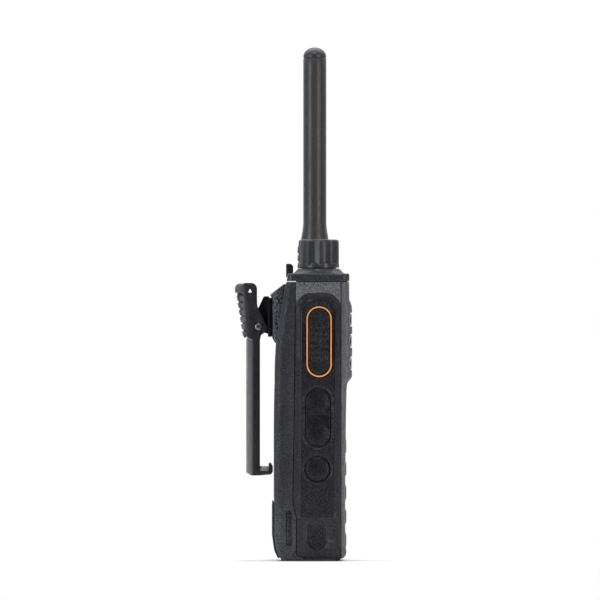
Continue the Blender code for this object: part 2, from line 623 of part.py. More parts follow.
def make_battery():
    case = split_region("battery_case", -0.15, -BEYOND, "graphite")
    combine(case, envelope, "INTERSECT")
    groove = rounded_rectangle((-2.8, -0.7), (5.2, 18.9), (0.4, 0.4, 1.0, 1.0), 4)
    cut(case, box("battery_cavity", (-5.6, 8.0), (-24.9, 24.9), (5.0, 79.6)),
        plate("near_groove", groove, -BEYOND, -HALF_WIDTH + 0.9),
        plate("far_groove", groove, HALF_WIDTH - 0.9, BEYOND))
    box("battery_lid", (-1.9, -0.9), (-24.5, 24.5), (5.4, 79.2), "black")
    cells = box("battery_cells", (-5.3, -2.2), (-24.3, -0.3), (5.6, 77.0), "cell")
    join(cells, box("second_cell", (-5.3, -2.2), (0.3, 24.3), (5.6, 77.0)),
         box("cell_strip", (-4.2, -3.2), (-8.0, 8.0), (76.5, 78.6)))
    contacts = box("battery_contacts", (-0.6, 0.0), (-11.0, 11.0), (9.4, 13.6), "brass")
    for index, y in enumerate(CONTACT_PLACES):
        join(contacts, box(f"battery_pad_{index}", (-0.3, 0.8), (y - 1.5, y + 1.5), (9.8, 13.2)))
    foot_side = [(-7.65, 22.5), (-7.95, 22.5), (-8.1, 21.0), (-8.1, 10.0), (-7.6, 6.4), (-7.25, 4.0),
                 (-6.35, 2.0), (-5.6, 0.8), (-5.4, 1.15), (-6.1, 2.4), (-6.65, 3.7), (-7.1, 5.9),
                 (-7.4, 10.1), (-7.4, 19.2)]
    plate("battery_foot", foot_side, -23.0, 23.0, "graphite")

    latch = box("battery_latch", (6.3, 12.1), (-8.0, 8.0), (0.3, 4.5), "black")
    join(latch, box("latch_hook", (5.5, 8.0), (-5.0, 5.0), (2.6, 4.5)))
    pivot(latch, 9.2, 0.0, 0.3)


def make_clip():
    """Hump, bracket, pin, spring, sprung lever and its grip pad."""
    hump = [(-3.7, 103.5), (-8.9, 99.7), (-8.2, 98.6), (-8.2, 84.6), (-7.9, 83.2), (-7.3, 82.2),
            (-6.9, 81.5), (-6.2, 85.8), (-5.5, 91.2), (-4.7, 95.5), (-3.65, 102.4)]
    mount = plate("clip_mount", hump, -15.0, 15.0, "textured")
    screw_hole = cylinder("clip_screw_hole", (0, 0, 94.0), "X", 1.8, -20.0, -6.2, segments=16)
    cylinder("clip_screw", (0, 0, 94.0), "X", 1.5, -9.9, -6.6, "steel", 16)
    cut(mount, screw_hole)

    base = box("clip_base", (-9.6, -8.5), (-13.0, 13.0), (83.9, 98.6), "black")
    lug_side = [(-9.2, 99.1), (-11.15, 99.1), (-13.4, 94.2), (-14.6, 90.3)]
    lug_side += arc((PIN_X, PIN_Z), 1.95, 160, 290, 8) + [(-9.2, 84.9)]
    for side in (-1, 1):
        low, high = sorted((side * 4.6, side * 8.1))
        join(base, plate(f"bracket_lug_{side}", lug_side, low, high))
    cut(base, screw_hole, cylinder("lug_bore", (PIN_X, 0, PIN_Z), "Y", 1.6, -20.0, 20.0, segments=20))

    cylinder("clip_pin", (PIN_X, 0, PIN_Z), "Y", 1.3, -10.9, 10.9, "steel", 20)

    coil = bpy.data.curves.new("clip_spring", "CURVE")
    coil.dimensions = "3D"
    coil.bevel_depth = 0.4 * MM
    coil.bevel_resolution = 1
    coil.use_fill_caps = True
    spline = coil.splines.new("POLY")
    turns, steps, radius, pitch = 4, 10, 2.15, 1.2
    route = []
    for i in range(turns * steps + 1):
        angle = 2 * math.pi * i / steps
        route.append((PIN_X + radius * math.cos(angle), -turns * pitch / 2 + pitch * i / steps,
                      PIN_Z + radius * math.sin(angle)))
    spline.points.add(len(route) - 1)
    for point, place in zip(spline.points, route):
        point.co = (place[0] * MM, place[1] * MM, place[2] * MM, 1.0)
    spring = bpy.data.objects.new("clip_spring", coil)
    spring.data.materials.append(MATERIALS["steel"])
    radio.objects.link(spring)

    lever_side = [(-18.4, 104.1)] + arc((-15.9, 101.9), 2.2, 90, 0, 5)
    lever_side += [(-13.65, 95.4), (-10.7, 89.3)] + arc((-11.7, 87.2), 1.9, 25, -60, 4)
    lever_side += [(-12.2, 84.5), (-12.6, 82.6), (-12.6, 33.6), (-9.3, 33.6), (-9.3, 36.2), (-8.6, 36.4)]
    lever_side += [(-7.75, 35.2), (-7.75, 33.2), (-8.5, 32.3), (-12.9, 31.9), (-15.9, 31.9), (-17.8, 33.0)]
    lever_side += [(-17.8, 82.7), (-17.0, 83.4)]
    lever = plate("clip_lever", lever_side, -EAR_OUTER, EAR_OUTER, "black")
    channel_side = [(-16.9, 110.0), (-15.8, 82.0), (-15.8, 34.2), (-5.0, 34.2), (-5.0, 110.0)]
    triangle = [(-17.3, 100.1), (-15.5, 100.1), (-16.4, 101.9)]
    cut(lever, plate("lever_channel", channel_side, -EAR_INNER, EAR_INNER),
        plate("sight_hole", triangle, -20.0, 20.0),
        cylinder("ear_bore", (PIN_X, 0, PIN_Z), "Y", 1.6, -20.0, 20.0, segments=20))
    round_edges(lever, 0.35, 1, 60)
    pivot(lever, PIN_X, 0.0, PIN_Z)
    make_grip()


def make_grip():
    """Ribbed thumb pad on the lever's upper outer face."""
    outline = [(-18.7, 103.9), (-20.6, 103.9), (-21.6, 103.3), (-22.0, 102.3), (-22.0, 99.9)]
    ribs, top, pitch, groove, depth, lean = 6, 99.4, 2.65, 0.5, 2.0, 0.155
    for rib in range(ribs):
        high = top - rib * pitch
        low = high - pitch + groove
        left_high = -21.4 + lean * (top - high)
        left_low = -21.4 + lean * (top - low)
        outline += [(left_high + depth, high + groove), (left_high + depth, high), (left_high, high),
                    (left_low, low)]
    outline += [(-18.4, 83.4), (-17.4, 83.9)]
    grip = plate("clip_grip", outline, -EAR_OUTER + 0.3, EAR_OUTER - 0.3, "grey")
    pivot(grip, PIN_X, 0.0, PIN_Z)


def make_tilt_axis():
    """Parent the battery pack's pieces to an empty on the edge about which the pack tilts."""
    axis = bpy.data.objects.new("battery_tilt_axis", None)
    radio.objects.link(axis)
    axis.location = Vector((TILT_X, 0, TILT_Z)) * MM
    bpy.context.view_layer.update()
    for name in BATTERY_PACK:
        item = bpy.data.objects[name]
        item.parent = axis
        item.matrix_parent_inverse = axis.matrix_world.inverted()


make_housing()
make_front()
make_top()
make_knob()
make_antenna()
make_side_keys()
make_accessory()
make_inside()
make_battery()
make_clip()
make_tilt_axis()
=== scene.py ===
"""Looks of the handheld two-way radio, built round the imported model.

Frame: +X towards the radio's front (display side), -Y towards the push-to-talk side, +Z up.
Sizes are millimetres; MM turns them into metres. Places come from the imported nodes' boxes.
"""
import json
import math

import bmesh
import bpy
import numpy as np
from mathutils import Matrix, Vector


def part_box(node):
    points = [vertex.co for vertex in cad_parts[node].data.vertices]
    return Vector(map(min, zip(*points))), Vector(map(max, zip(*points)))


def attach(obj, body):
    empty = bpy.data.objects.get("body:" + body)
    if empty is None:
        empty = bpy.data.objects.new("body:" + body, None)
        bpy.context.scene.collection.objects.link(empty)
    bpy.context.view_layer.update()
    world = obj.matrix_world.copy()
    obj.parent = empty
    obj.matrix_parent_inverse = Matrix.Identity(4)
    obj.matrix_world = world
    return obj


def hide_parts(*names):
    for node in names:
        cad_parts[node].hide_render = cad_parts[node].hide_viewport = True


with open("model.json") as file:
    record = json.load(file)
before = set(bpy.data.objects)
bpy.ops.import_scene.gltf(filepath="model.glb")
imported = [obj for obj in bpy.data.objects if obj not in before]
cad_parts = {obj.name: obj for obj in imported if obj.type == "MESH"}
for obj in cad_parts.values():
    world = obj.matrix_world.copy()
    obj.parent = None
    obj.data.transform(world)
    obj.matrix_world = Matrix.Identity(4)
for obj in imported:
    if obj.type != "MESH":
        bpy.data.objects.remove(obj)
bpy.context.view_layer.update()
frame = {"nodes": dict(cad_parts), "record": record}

MM = 0.001
GAP = 0.3


def span(node):
    """A node's box as (low, high) pairs along x, y and z, in millimetres."""
    low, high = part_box(node)
    return [(a / MM, b / MM) for a, b in zip(low, high)]


def both_sides(low, high):
    """A y range on the far side and its mirror image, the near one first."""
    return (-high, -low), (low, high)


def middle(pair):
    return (pair[0] + pair[1]) / 2


def half(pair):
    return (pair[1] - pair[0]) / 2


# ---------------- places from the frame

HALF_WIDTH = span("battery_case")[1][1]
BODY_TOP = span("battery_case")[2][1]
COLLAR_FACE = -span("housing")[1][0]
PANEL_BACK, PANEL_FRONT = span("front_panel")[0]
HOUSING_FRONT = span("housing")[0][1]
CAP_BOTTOM = span("top_cap")[2][0]
SIDE_PANEL = span("side_panel")
POCKET_FLOOR = -SIDE_PANEL[1][1] - GAP

PTT = span("ptt_ring")
PTT_X, PTT_Z = middle(PTT[0]), middle(PTT[2])
RING_OUTER = half(PTT[0])
RING_WIDTH = 0.65
RING_INNER = RING_OUTER - RING_WIDTH
PTT_HALF_STRAIGHT = half(PTT[2]) - RING_OUTER
PTT_SHAPE = ((PTT_X, PTT_Z), PTT_HALF_STRAIGHT)

ROCKER = span("side_rocker")
ROCKER_X, ROCKER_Z = middle(ROCKER[0]), middle(ROCKER[2])
ROCKER_RADIUS = half(ROCKER[0])
ROCKER_HALF_STRAIGHT = half(ROCKER[2]) - ROCKER_RADIUS
ROCKER_SHAPE = ((ROCKER_X, ROCKER_Z), ROCKER_HALF_STRAIGHT)

SIDE_KEY = span("side_key")
SIDE_KEY_X, SIDE_KEY_Z = middle(SIDE_KEY[0]), middle(SIDE_KEY[2])
SIDE_KEY_RADIUS = half(SIDE_KEY[0])

KNOB = span("volume_knob")
SHAFT = span("volume_shaft")
KNOB_X, KNOB_Y = middle(SHAFT[0]), middle(SHAFT[1])
KNOB_RADIUS = KNOB_Y - KNOB[1][0]
KNOB_BOTTOM, KNOB_TOP = KNOB[2]
FLUTES = 11
FLUTE_TURN = math.radians(2.0)

WHIP = span("antenna_whip")
ANTENNA_X, ANTENNA_Y = middle(WHIP[0]), middle(WHIP[1])
ANTENNA_BASE, ANTENNA_TIP = WHIP[2]

PIN = span("clip_pin")
PIN_X, PIN_Z = middle(PIN[0]), middle(PIN[2])
LEVER = span("clip_lever")
GRIP = span("clip_grip")

KEYS = ("1", "2", "3", "4", "5", "6", "7", "8", "9", "star", "0", "hash")

KNOB_HOLE = 3.8
ANTENNA_HOLE = 5.1
PIN_BORE = 1.6
SCREW_HEIGHT = 94.0          # clip screw

# Ranges of cutters that reach past the part
NEAR_SIDE = (-30.0, -20.0)   # y, through the push-to-talk side
ACROSS = (-40.0, 40.0)       # y, from side to side
FRONTWARD = (10.0, 30.0)     # x, through the front
ROOF = (99.0, 112.0)         # z, through the top
EDGE = (BODY_TOP - 0.9, 106.5)  # z, grooves in the top edge


# ---------------- mesh tools

def add_object(name, data):
    """A new object in the scene for a mesh, curve, light or camera."""
    item = bpy.data.objects.new(name, data)
    bpy.context.scene.collection.objects.link(item)
    return item


def from_bmesh(name, shape):
    mesh = bpy.data.meshes.new(name)
    bmesh.ops.recalc_face_normals(shape, faces=shape.faces)
    shape.to_mesh(mesh)
    shape.free()
    return add_object(name, mesh)


def box(name, x, y, z):
    """A cuboid given as (low, high) pairs along x, y and z."""
    shape = bmesh.new()
    size = Matrix.Diagonal((*((b - a) * MM for a, b in (x, y, z)), 1.0))
    place = Matrix.Translation(Vector((middle(x), middle(y), middle(z))) * MM)
    bmesh.ops.create_cube(shape, size=1.0, matrix=place @ size)
    return from_bmesh(name, shape)


AXIS_TURN = {
    "X": Matrix.Rotation(math.pi / 2, 4, "Y"),
    "Y": Matrix.Rotation(-math.pi / 2, 4, "X"),
    "Z": Matrix.Identity(4),
}


def cylinder(name, centre, axis, radius, low, high, segments=48):
    place = Vector(centre)
    place["XYZ".index(axis)] = (low + high) / 2
    shape = bmesh.new()
    bmesh.ops.create_cone(shape, cap_ends=True, segments=segments, radius1=radius * MM, radius2=radius * MM,
                          depth=(high - low) * MM, matrix=Matrix.Translation(place * MM) @ AXIS_TURN[axis])
    return from_bmesh(name, shape)


def loft(name, sections, ends=True):
    """Skin a run of (x, y, z) sections; close both ends, or join the last section to the first."""
    shape = bmesh.new()
    rings = [[shape.verts.new(Vector(p) * MM) for p in section] for section in sections]
    for lower, upper in zip(rings, rings[1:] if ends else rings[1:] + rings[:1]):
        for corners in zip(lower, lower[1:] + lower[:1], upper[1:] + upper[:1], upper):
            shape.faces.new(corners)
    if ends:
        shape.faces.new(rings[0][::-1])
        shape.faces.new(rings[-1])
    return from_bmesh(name, shape)


def stack(name, levels, outline, ends=True):
    """Skin (x, z) outlines across Y: outline(value) for each (y, value) level."""
    return loft(name, [[(x, y, z) for x, z in outline(value)] for y, value in levels], ends)


def plate(name, outline, low, high):
    """An (x, z) outline given thickness from y = low to y = high."""
    return stack(name, ((low, outline), (high, outline)), list)


def turned(name, profile, centre, steps=64):
    """Turn an (r, z) profile that starts and ends on the axis about the upright line through centre."""
    angles = [2 * math.pi * i / steps for i in range(steps)]
    return loft(name, [[(centre[0] + r * math.cos(a), centre[1] + r * math.sin(a), z) for a in angles]
                       for r, z in profile])


def turned_across(name, profile, x, z, facing, steps):
    """Turn an (r, y) profile about the line along Y through (x, z); facing is 1 for heights towards -Y."""
    piece = turned(name, profile, (0.0, 0.0), steps)
    place = Matrix.Translation(Vector((x, 0.0, z)) * MM)
    piece.data.transform(place @ Matrix.Rotation(facing * math.pi / 2, 4, "X"))
    return piece


def relief(name, x, z, cells, height, back, outline):
    """A block inside an (x, z) outline; its face towards -Y stands height(x, z) from the middle plane."""
    across = np.linspace(x[0] - 0.1, x[1] + 0.1, cells[0] + 1)
    upward = np.linspace(z[0] - 0.1, z[1] + 0.1, cells[1] + 1)
    block = loft(name, [[(a, -height(a, b), b) for a in across] + [(a, back, b) for a in across[::-1]]
                        for b in upward])
    return combine(block, "INTERSECT", plate("edge", outline, *NEAR_SIDE))


def evaluated_mesh(item):
    bpy.context.view_layer.update()
    return bpy.data.meshes.new_from_object(item.evaluated_get(bpy.context.evaluated_depsgraph_get()))


def bake(item):
    """Apply an object's modifiers."""
    mesh = evaluated_mesh(item)
    mesh.name = item.name
    item.modifiers.clear()
    item.data = mesh
    return item


def combine(target, operation, *others):
    """Boolean target with each of the others, and remove them."""
    for other in others:
        modifier = target.modifiers.new(operation.lower(), "BOOLEAN")
        modifier.operation = operation
        modifier.solver = "EXACT"
        modifier.object = other
    bake(target)
    for other in others:
        bpy.data.objects.remove(other)
    return target


def cut(target, *others):
    return combine(target, "DIFFERENCE", *others)


def join(target, *others):
    return combine(target, "UNION", *others)


def round_edges(item, width, segments=2, angle=38):
    bevel = item.modifiers.new("round", "BEVEL")
    bevel.width = width * MM
    bevel.segments = segments
    bevel.limit_method = "ANGLE"
    bevel.angle_limit = math.radians(angle)
    bevel.use_clamp_overlap = True
    return bake(item)


def smooth(item, angle=38):
    item.data.shade_smooth()
    item.data.set_sharp_from_angle(angle=math.radians(angle))
    return item


# ---------------- outlines

def arc(centre, radius, start, end, steps):
    """Points of an arc; angles in degrees."""
    angles = [math.radians(start + (end - start) * i / steps) for i in range(steps + 1)]
    return [(centre[0] + radius * math.cos(a), centre[1] + radius * math.sin(a)) for a in angles]


def stadium(centre, half_straight, radius, steps=28):
    """Upright outline with two straight sides and two half-round ends."""
    upper = (centre[0], centre[1] + half_straight)
    lower = (centre[0], centre[1] - half_straight)
    return arc(upper, radius, 0, 180, steps) + arc(lower, radius, 180, 360, steps)


def rounded_rectangle(x, y, radii, steps):
    """Corners in the order low-low, high-low, high-high, low-high."""
    r0, r1, r2, r3 = radii
    return (arc((x[0] + r0, y[0] + r0), r0, 180, 270, steps)
            + arc((x[1] - r1, y[0] + r1), r1, 270, 360, steps)
            + arc((x[1] - r2, y[1] - r2), r2, 0, 90, steps)
            + arc((x[0] + r3, y[1] - r3), r3, 90, 180, steps))


def fillet(points, radii, steps=6):
    """Round the corners of a closed polygon; radii has one radius for each corner."""
    made = []
    count = len(points)
    for i, radius in enumerate(radii):
        here = Vector(points[i])
        before = Vector(points[i - 1]) - here
        after = Vector(points[(i + 1) % count]) - here
        if radius <= 0:
            made.append(tuple(here))
            continue
        turn = before.angle(after)
        reach = min(radius / math.tan(turn / 2), 0.48 * before.length, 0.48 * after.length)
        start = here + before.normalized() * reach
        end = here + after.normalized() * reach
        for step in range(steps + 1):
            t = step / steps
            made.append(tuple(start * (1 - t) ** 2 + here * 2 * t * (1 - t) + end * t ** 2))
    return made


def ramp(value, low, high):
    """Smooth step from 0 at low to 1 at high."""
    t = min(max((value - low) / (high - low), 0.0), 1.0)
    return t * t * (3 - 2 * t)


def stadium_depth(x, z, centre, half_straight, radius):
    """How far a point lies inside a stadium; negative outside."""
    dz = max(abs(z - centre[1]) - half_straight, 0.0)
    return radius - math.hypot(x - centre[0], dz)


def edge_drop(depth, radius):
    """How far a quarter-round edge falls below the face at this distance inside the outline."""
    if depth >= radius:
        return 0.0
    reach = radius - max(depth, 0.0)
    return radius - math.sqrt(max(radius * radius - reach * reach, 0.0))


# ---------------- materials

MATERIALS = {}


class Graph:
    """Short ways to add nodes to a material's or a world's node tree."""

    def __init__(self, owner, shader="Principled BSDF", coordinates="Object"):
        owner.use_nodes = True
        self.nodes, self.links = owner.node_tree.nodes, owner.node_tree.links
        self.shader = self.nodes[shader]
        self.vector = self.add("TexCoord").outputs[coordinates]

    def add(self, kind, **inputs):
        node = self.nodes.new("ShaderNode" + kind)
        for name, value in inputs.items():
            self.feed(node.inputs[name], value)
        return node

    def feed(self, socket, value):
        """Link a socket to another node's output, or give it a fixed number or (r, g, b)."""
        if isinstance(value, bpy.types.NodeSocket):
            self.links.new(value, socket)
        else:
            socket.default_value = (*value, 1.0) if isinstance(value, tuple) else value

    def set(self, name, value):
        """Feed one of the shader's own sockets."""
        self.feed(self.shader.inputs[name], value)

    def noise(self, scale, detail=3.0, roughness=0.55):
        return self.add("TexNoise", Vector=self.vector, Scale=scale, Detail=detail,
                        Roughness=roughness).outputs["Fac"]

    def cells(self, scale):
        return self.add("TexVoronoi", Vector=self.vector, Scale=scale).outputs["Distance"]

    def axis(self, name):
        return self.add("SeparateXYZ", Vector=self.vector).outputs[name]

    def ranged(self, value, from_low, from_high, to_low=0.0, to_high=1.0):
        node = self.add("MapRange", Value=value)
        for socket, number in zip(node.inputs[1:5], (from_low, from_high, to_low, to_high)):
            socket.default_value = number
        return node.outputs["Result"]

    def math(self, operation, first, second=0.0):
        node = self.add("Math")
        node.operation = operation
        self.feed(node.inputs[0], first)
        self.feed(node.inputs[1], second)
        return node.outputs["Value"]

    def mix(self, factor, first, second, blend="MIX"):
        """Mix two colours; each is an (r, g, b) or another node's output."""
        node = self.add("Mix", Factor=factor)
        node.data_type, node.blend_type = "RGBA", blend
        self.feed(node.inputs[6], first)
        self.feed(node.inputs[7], second)
        return node.outputs[2]

    def bump(self, height, distance, strength):
        node = self.add("Bump", Height=height, Distance=distance * MM, Strength=strength)
        self.set("Normal", node.outputs["Normal"])


def new_material(name):
    MATERIALS[name] = bpy.data.materials.new(name)
    return Graph(MATERIALS[name])


def scaled(colour, share):
    return tuple(min(c * share, 1.0) for c in colour)


def moulded(name, colour, roughness=0.5, grain=0.35, depth=0.03, strength=0.35, mottle=0.1,
            specks=0.0, edge_wear_and_highlight=1.5, specular=0.5, sparkle=0.3, zone=None, painted_shade_bands=()):
    """Moulded plastic or rubber: fine grain, uneven tone and gloss, and paler convex edges, partly rubbed
    wear and partly painted highlight.

    grain is the size of the surface texture in millimetres, specks the strength of bright
    grains and sparkle how unevenly they shine. zone = (z low, z high, colour) fades to another
    colour between two heights; on the housing and the side panel it gives a paler top, painted light.
    Each (full, none, colour) shade band fades to another colour by distance from the middle plane:
    painted shade on the housing's recessed faces and on its collar.
    """
    graph = new_material(name)
    tone = graph.ranged(graph.noise(70.0, 4.0), 0.3, 0.7)
    mixed = graph.mix(tone, scaled(colour, 1 - mottle), scaled(colour, 1 + mottle))
    fine = graph.noise(900.0 / grain, 2.0, 0.6)
    # Where zone is given the colour fades with height; on the housing and the side panel this paler top is
    # painted light.
    if zone is not None:
        low, high, other = zone
        grains = graph.mix(graph.ranged(fine, 0.4, 0.6), scaled(other, 0.6), scaled(other, 1.35))
        mixed = graph.mix(graph.ranged(graph.axis("Z"), low * MM, high * MM), mixed, grains)
    # Painted shade: a darker colour set by distance from the middle plane.
    for full, none, other in painted_shade_bands:
        away = graph.math("ABSOLUTE", graph.axis("Y"))
        mixed = graph.mix(graph.ranged(away, full * MM, none * MM, 1.0, 0.0), mixed, other)
    fleck = graph.math("MULTIPLY", graph.ranged(fine, 0.35, 0.75), specks)
    mixed = graph.mix(fleck, mixed, scaled(colour, 1.5 + 3 * specks))
    tint = graph.ranged(fine, 0.32, 0.68, 1 - sparkle / 4, 1 + sparkle / 4)
    mixed = graph.mix(1.0, mixed, tint, "MULTIPLY")
    # Paler convex edges: partly rubbed wear, partly painted highlight.
    edge = graph.ranged(graph.add("NewGeometry").outputs["Pointiness"], 0.53, 0.62)
    graph.set("Base Color", graph.mix(edge, mixed, scaled(colour, edge_wear_and_highlight)))
    graph.set("Specular IOR Level", graph.ranged(fine, 0.35, 0.68, specular * (1 - sparkle),
                                                 specular * (1 + sparkle)))
    graph.set("Roughness", graph.ranged(graph.noise(420.0), 0.3, 0.7, roughness - 0.07, roughness + 0.07))
    graph.bump(graph.math("ADD", graph.cells(1000.0 / grain), fine), depth, strength)


def bead(name, lit_crest, shaded_flank, y):
    """Moulded ring, paler on top at the near end of y than down its sides: painted highlight on top,
    painted shade on the sides.
    """
    graph = new_material(name)
    fall = graph.ranged(graph.axis("Y"), (y[0] + 0.03) * MM, (y[0] + 0.2) * MM)
    fine = graph.noise(2500.0, 2.0, 0.6)
    graph.set("Base Color", graph.mix(fall, graph.mix(fine, lit_crest, scaled(lit_crest, 0.9)), shaded_flank))
    graph.set("Roughness", graph.ranged(graph.noise(420.0), 0.3, 0.7, 0.3, 0.42))
    graph.bump(fine, 0.01, 0.2)


def metal(name, colour, roughness=0.3, scale=900.0):
    """Metal with fine tool marks and uneven polish."""
    graph = new_material(name)
    marks = graph.noise(scale, 4.0)
    tone = graph.ranged(marks, 0.3, 0.7)
    graph.set("Base Color", graph.mix(tone, scaled(colour, 0.85), scaled(colour, 1.1)))
    graph.set("Roughness", graph.ranged(marks, 0.3, 0.7, roughness - 0.08, roughness + 0.1))
    graph.set("Metallic", 1.0)
    graph.bump(marks, 0.01, 0.25)


def display_glass(name):
    """Black-bordered lens with a pale grey-green display area and its fine dot grid."""
    graph = new_material(name)
    lens = span("display_lens")
    inside = []
    for axis, pair, border in (("Y", lens[1], 2.6), ("Z", lens[2], 1.7)):
        away = graph.math("ABSOLUTE", graph.math("SUBTRACT", graph.axis(axis), middle(pair) * MM))
        edge = half(pair) - border
        inside.append(graph.ranged(away, (edge - 0.05) * MM, edge * MM, 1.0, 0.0))
    area = graph.mix(graph.cells(4000.0), (0.055, 0.07, 0.06), (0.075, 0.095, 0.08))
    graph.set("Base Color", graph.mix(graph.math("MULTIPLY", *inside), (0.006, 0.006, 0.007), area))
    graph.set("Roughness", graph.ranged(graph.noise(120.0), 0.35, 0.7, 0.05, 0.14))
    graph.set("Coat Weight", 0.6)
    graph.set("Coat Roughness", 0.04)


HOUSING_GREY = (0.019, 0.019, 0.023)
# Paler upper band of the housing: painted light from above.
PAINTED_TOP_LIGHT = (0.125, 0.13, 0.14)
# Recessed faces of the housing: painted shade.
RECESS_PAINTED_SHADE = (0.005, 0.005, 0.006)
# Slope of the collar round the push-to-talk button: painted shade.
COLLAR_PAINTED_SHADE = (0.014, 0.014, 0.017)

# Housing: paler top is painted light, dark recessed faces and darker collar are painted shade, paler edges
# partly painted highlight.
moulded("housing_plastic", HOUSING_GREY, 0.5, 0.42, 0.07, 0.7, mottle=0.2, specks=0.06, edge_wear_and_highlight=2.5,
        specular=0.35, sparkle=0.7, zone=(95.5, 98.5, PAINTED_TOP_LIGHT),
        painted_shade_bands=((26.1, 26.7, RECESS_PAINTED_SHADE), (27.1, 27.02, COLLAR_PAINTED_SHADE)))
moulded("bezel_plastic", (0.098, 0.1, 0.105), 0.45, 0.42, 0.07, 0.7, mottle=0.15, edge_wear_and_highlight=1.9, sparkle=0.8)
moulded("cap_plastic", (0.02, 0.021, 0.025), 0.38, 0.5, 0.04, 0.5, mottle=0.2, specular=0.45, sparkle=0.8)
moulded("battery_plastic", (0.019, 0.0195, 0.024), 0.48, 0.42, 0.08, 0.8, mottle=0.2, specks=0.2,
        edge_wear_and_highlight=2.5, specular=0.4, sparkle=0.7, zone=(24.0, 12.0, (0.042, 0.043, 0.05)))
moulded("textured_plastic", (0.012, 0.0125, 0.0155), 0.42, 0.55, 0.25, 1.0, mottle=0.2, specks=1.8,
        sparkle=1.2)
moulded("clip_plastic", (0.026, 0.025, 0.028), 0.34, 0.3, 0.015, 0.25)
moulded("bracket_plastic", (0.003, 0.003, 0.0035), 0.55, 0.3, 0.02, 0.3, specular=0.2)
moulded("grip_rubber", (0.05, 0.05, 0.052), 0.6, 0.3, 0.03, 0.35)
# Side panel and what shares its rubber: paler towards the top, painted light from above; paler edges partly
# painted highlight.
moulded("panel_rubber", (0.0095, 0.0093, 0.012), 0.5, 0.55, 0.06, 0.7, mottle=0.2, specks=0.04,
        edge_wear_and_highlight=4.0, specular=0.35, sparkle=0.7, zone=(88.0, 95.0, (0.023, 0.023, 0.026)))
moulded("button_rubber", (0.009, 0.0088, 0.0115), 0.42, 0.45, 0.03, 0.5, mottle=0.2, specular=0.25,
        sparkle=0.8)
moulded("pad_rubber", (0.0135, 0.013, 0.0155), 0.45, 0.45, 0.05, 0.7, mottle=0.3, specks=0.1,
        specular=0.3, sparkle=0.9)
# Push-to-talk ring: the paler top is painted highlight and the darker sides are painted shade.
bead("ring_orange", (0.9, 0.42, 0.14), (0.5, 0.1, 0.02), PTT[1])
moulded("key_plastic", (0.02, 0.02, 0.022), 0.45, 0.3, 0.015, 0.2)
moulded("legend_white", (0.7, 0.7, 0.68), 0.5, 0.3, 0.01, 0.15, mottle=0.03, edge_wear_and_highlight=1.0)
moulded("knob_plastic", (0.036, 0.037, 0.042), 0.36, 0.3, 0.02, 0.25)
moulded("antenna_rubber", (0.045, 0.045, 0.048), 0.38, 0.3, 0.02, 0.3)
moulded("seal_rubber", (0.01, 0.01, 0.011), 0.7, 0.3, 0.02, 0.3)
display_glass("lens_glass")
moulded("display_face", (0.12, 0.15, 0.13), 0.3, 0.2, 0.005, 0.1)
moulded("board_laminate", (0.012, 0.09, 0.04), 0.45, 0.5, 0.02, 0.3)
metal("steel", (0.62, 0.61, 0.6), 0.24)
metal("dark_steel", (0.5, 0.5, 0.5), 0.3)
moulded("mesh_steel", (0.34, 0.345, 0.36), 0.5, 0.3, 0.1, 1.0, mottle=0.2, specks=0.3, sparkle=0.9)
metal("cast_aluminium", (0.6, 0.6, 0.62), 0.42, scale=500.0)
metal("brass", (0.72, 0.5, 0.22), 0.3)
moulded("speaker_black", (0.012, 0.012, 0.013), 0.6, 0.4, 0.03, 0.3)
moulded("latch_plastic", (0.018, 0.018, 0.02), 0.45, 0.3, 0.02, 0.3)
moulded("cell_wrap", (0.05, 0.09, 0.2), 0.35, 0.6, 0.01, 0.2)


def body_of_node(node):
    for body, members in frame["record"]["behaviour"]["bodies"].items():
        if node in members:
            return body
    raise KeyError(node)


def stand_in(item, node, material, *others):
    """Let a piece stand for a node: its name, body, finish and material."""
    item.name = node + "_fine"
    item.data.name = item.name
    slots = item.data.materials
    for index, finish in enumerate((material, *others)):
        if index < len(slots):
            slots[index] = MATERIALS[finish]
        else:
            slots.append(MATERIALS[finish])
    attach(item, body_of_node(node))
    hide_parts(node)


# ---------------- body envelope

# Outside of radio body and battery: height, back, front, half width, rear and front corner radii
BODY_STATIONS = (
    (0.0, -4.0, 16.8, 25.6, 1.6, 1.8),
    (1.2, -5.0, 18.7, 26.3, 2.0, 2.2),
    (2.3, -5.7, 19.7, 26.8, 2.4, 2.5),
    (3.6, -6.25, 19.9, 27.0, 2.6, 2.6),
    (5.8, -6.75, 19.5, 27.0, 2.8, 2.6),
    (10.0, -7.1, 19.4, 27.0, 3.0, 2.6),
    (19.0, -7.1, 19.4, 27.0, 3.0, 2.6),
    (25.0, -7.4, 19.4, 27.0, 3.0, 2.6),
    (48.0, -7.4, 19.6, 27.0, 3.0, 2.6),
    (64.2, -7.2, 19.9, 27.0, 3.0, 2.6),
    (66.4, -7.1, 20.2, 27.0, 3.0, 2.8),
    (69.2, -7.1, 21.9, 27.0, 3.0, 3.0),
    (81.5, -6.6, 22.0, 27.0, 3.0, 3.0),
    (85.8, -5.9, 22.0, 27.0, 3.0, 3.0),
    (91.2, -5.2, 22.0, 27.0, 3.0, 3.0),
    (95.5, -4.4, 21.8, 27.0, 3.0, 3.0),
    (98.2, -3.95, 20.9, 27.0, 2.8, 2.8),
    (102.4, -3.3, 20.9, 27.0, 2.6, 2.8),
    (BODY_TOP, -2.6, 20.8, 26.8, 2.4, 2.6),
)
SPLIT = ((0.7, 110.0), (0.7, 104.0), (0.4, 66.0), (-0.2, 24.6), (-0.1, 20.8), (1.05, 16.3),
         (1.05, 2.1), (4.1, 0.8), (4.6, 0.0), (4.6, -5.0))


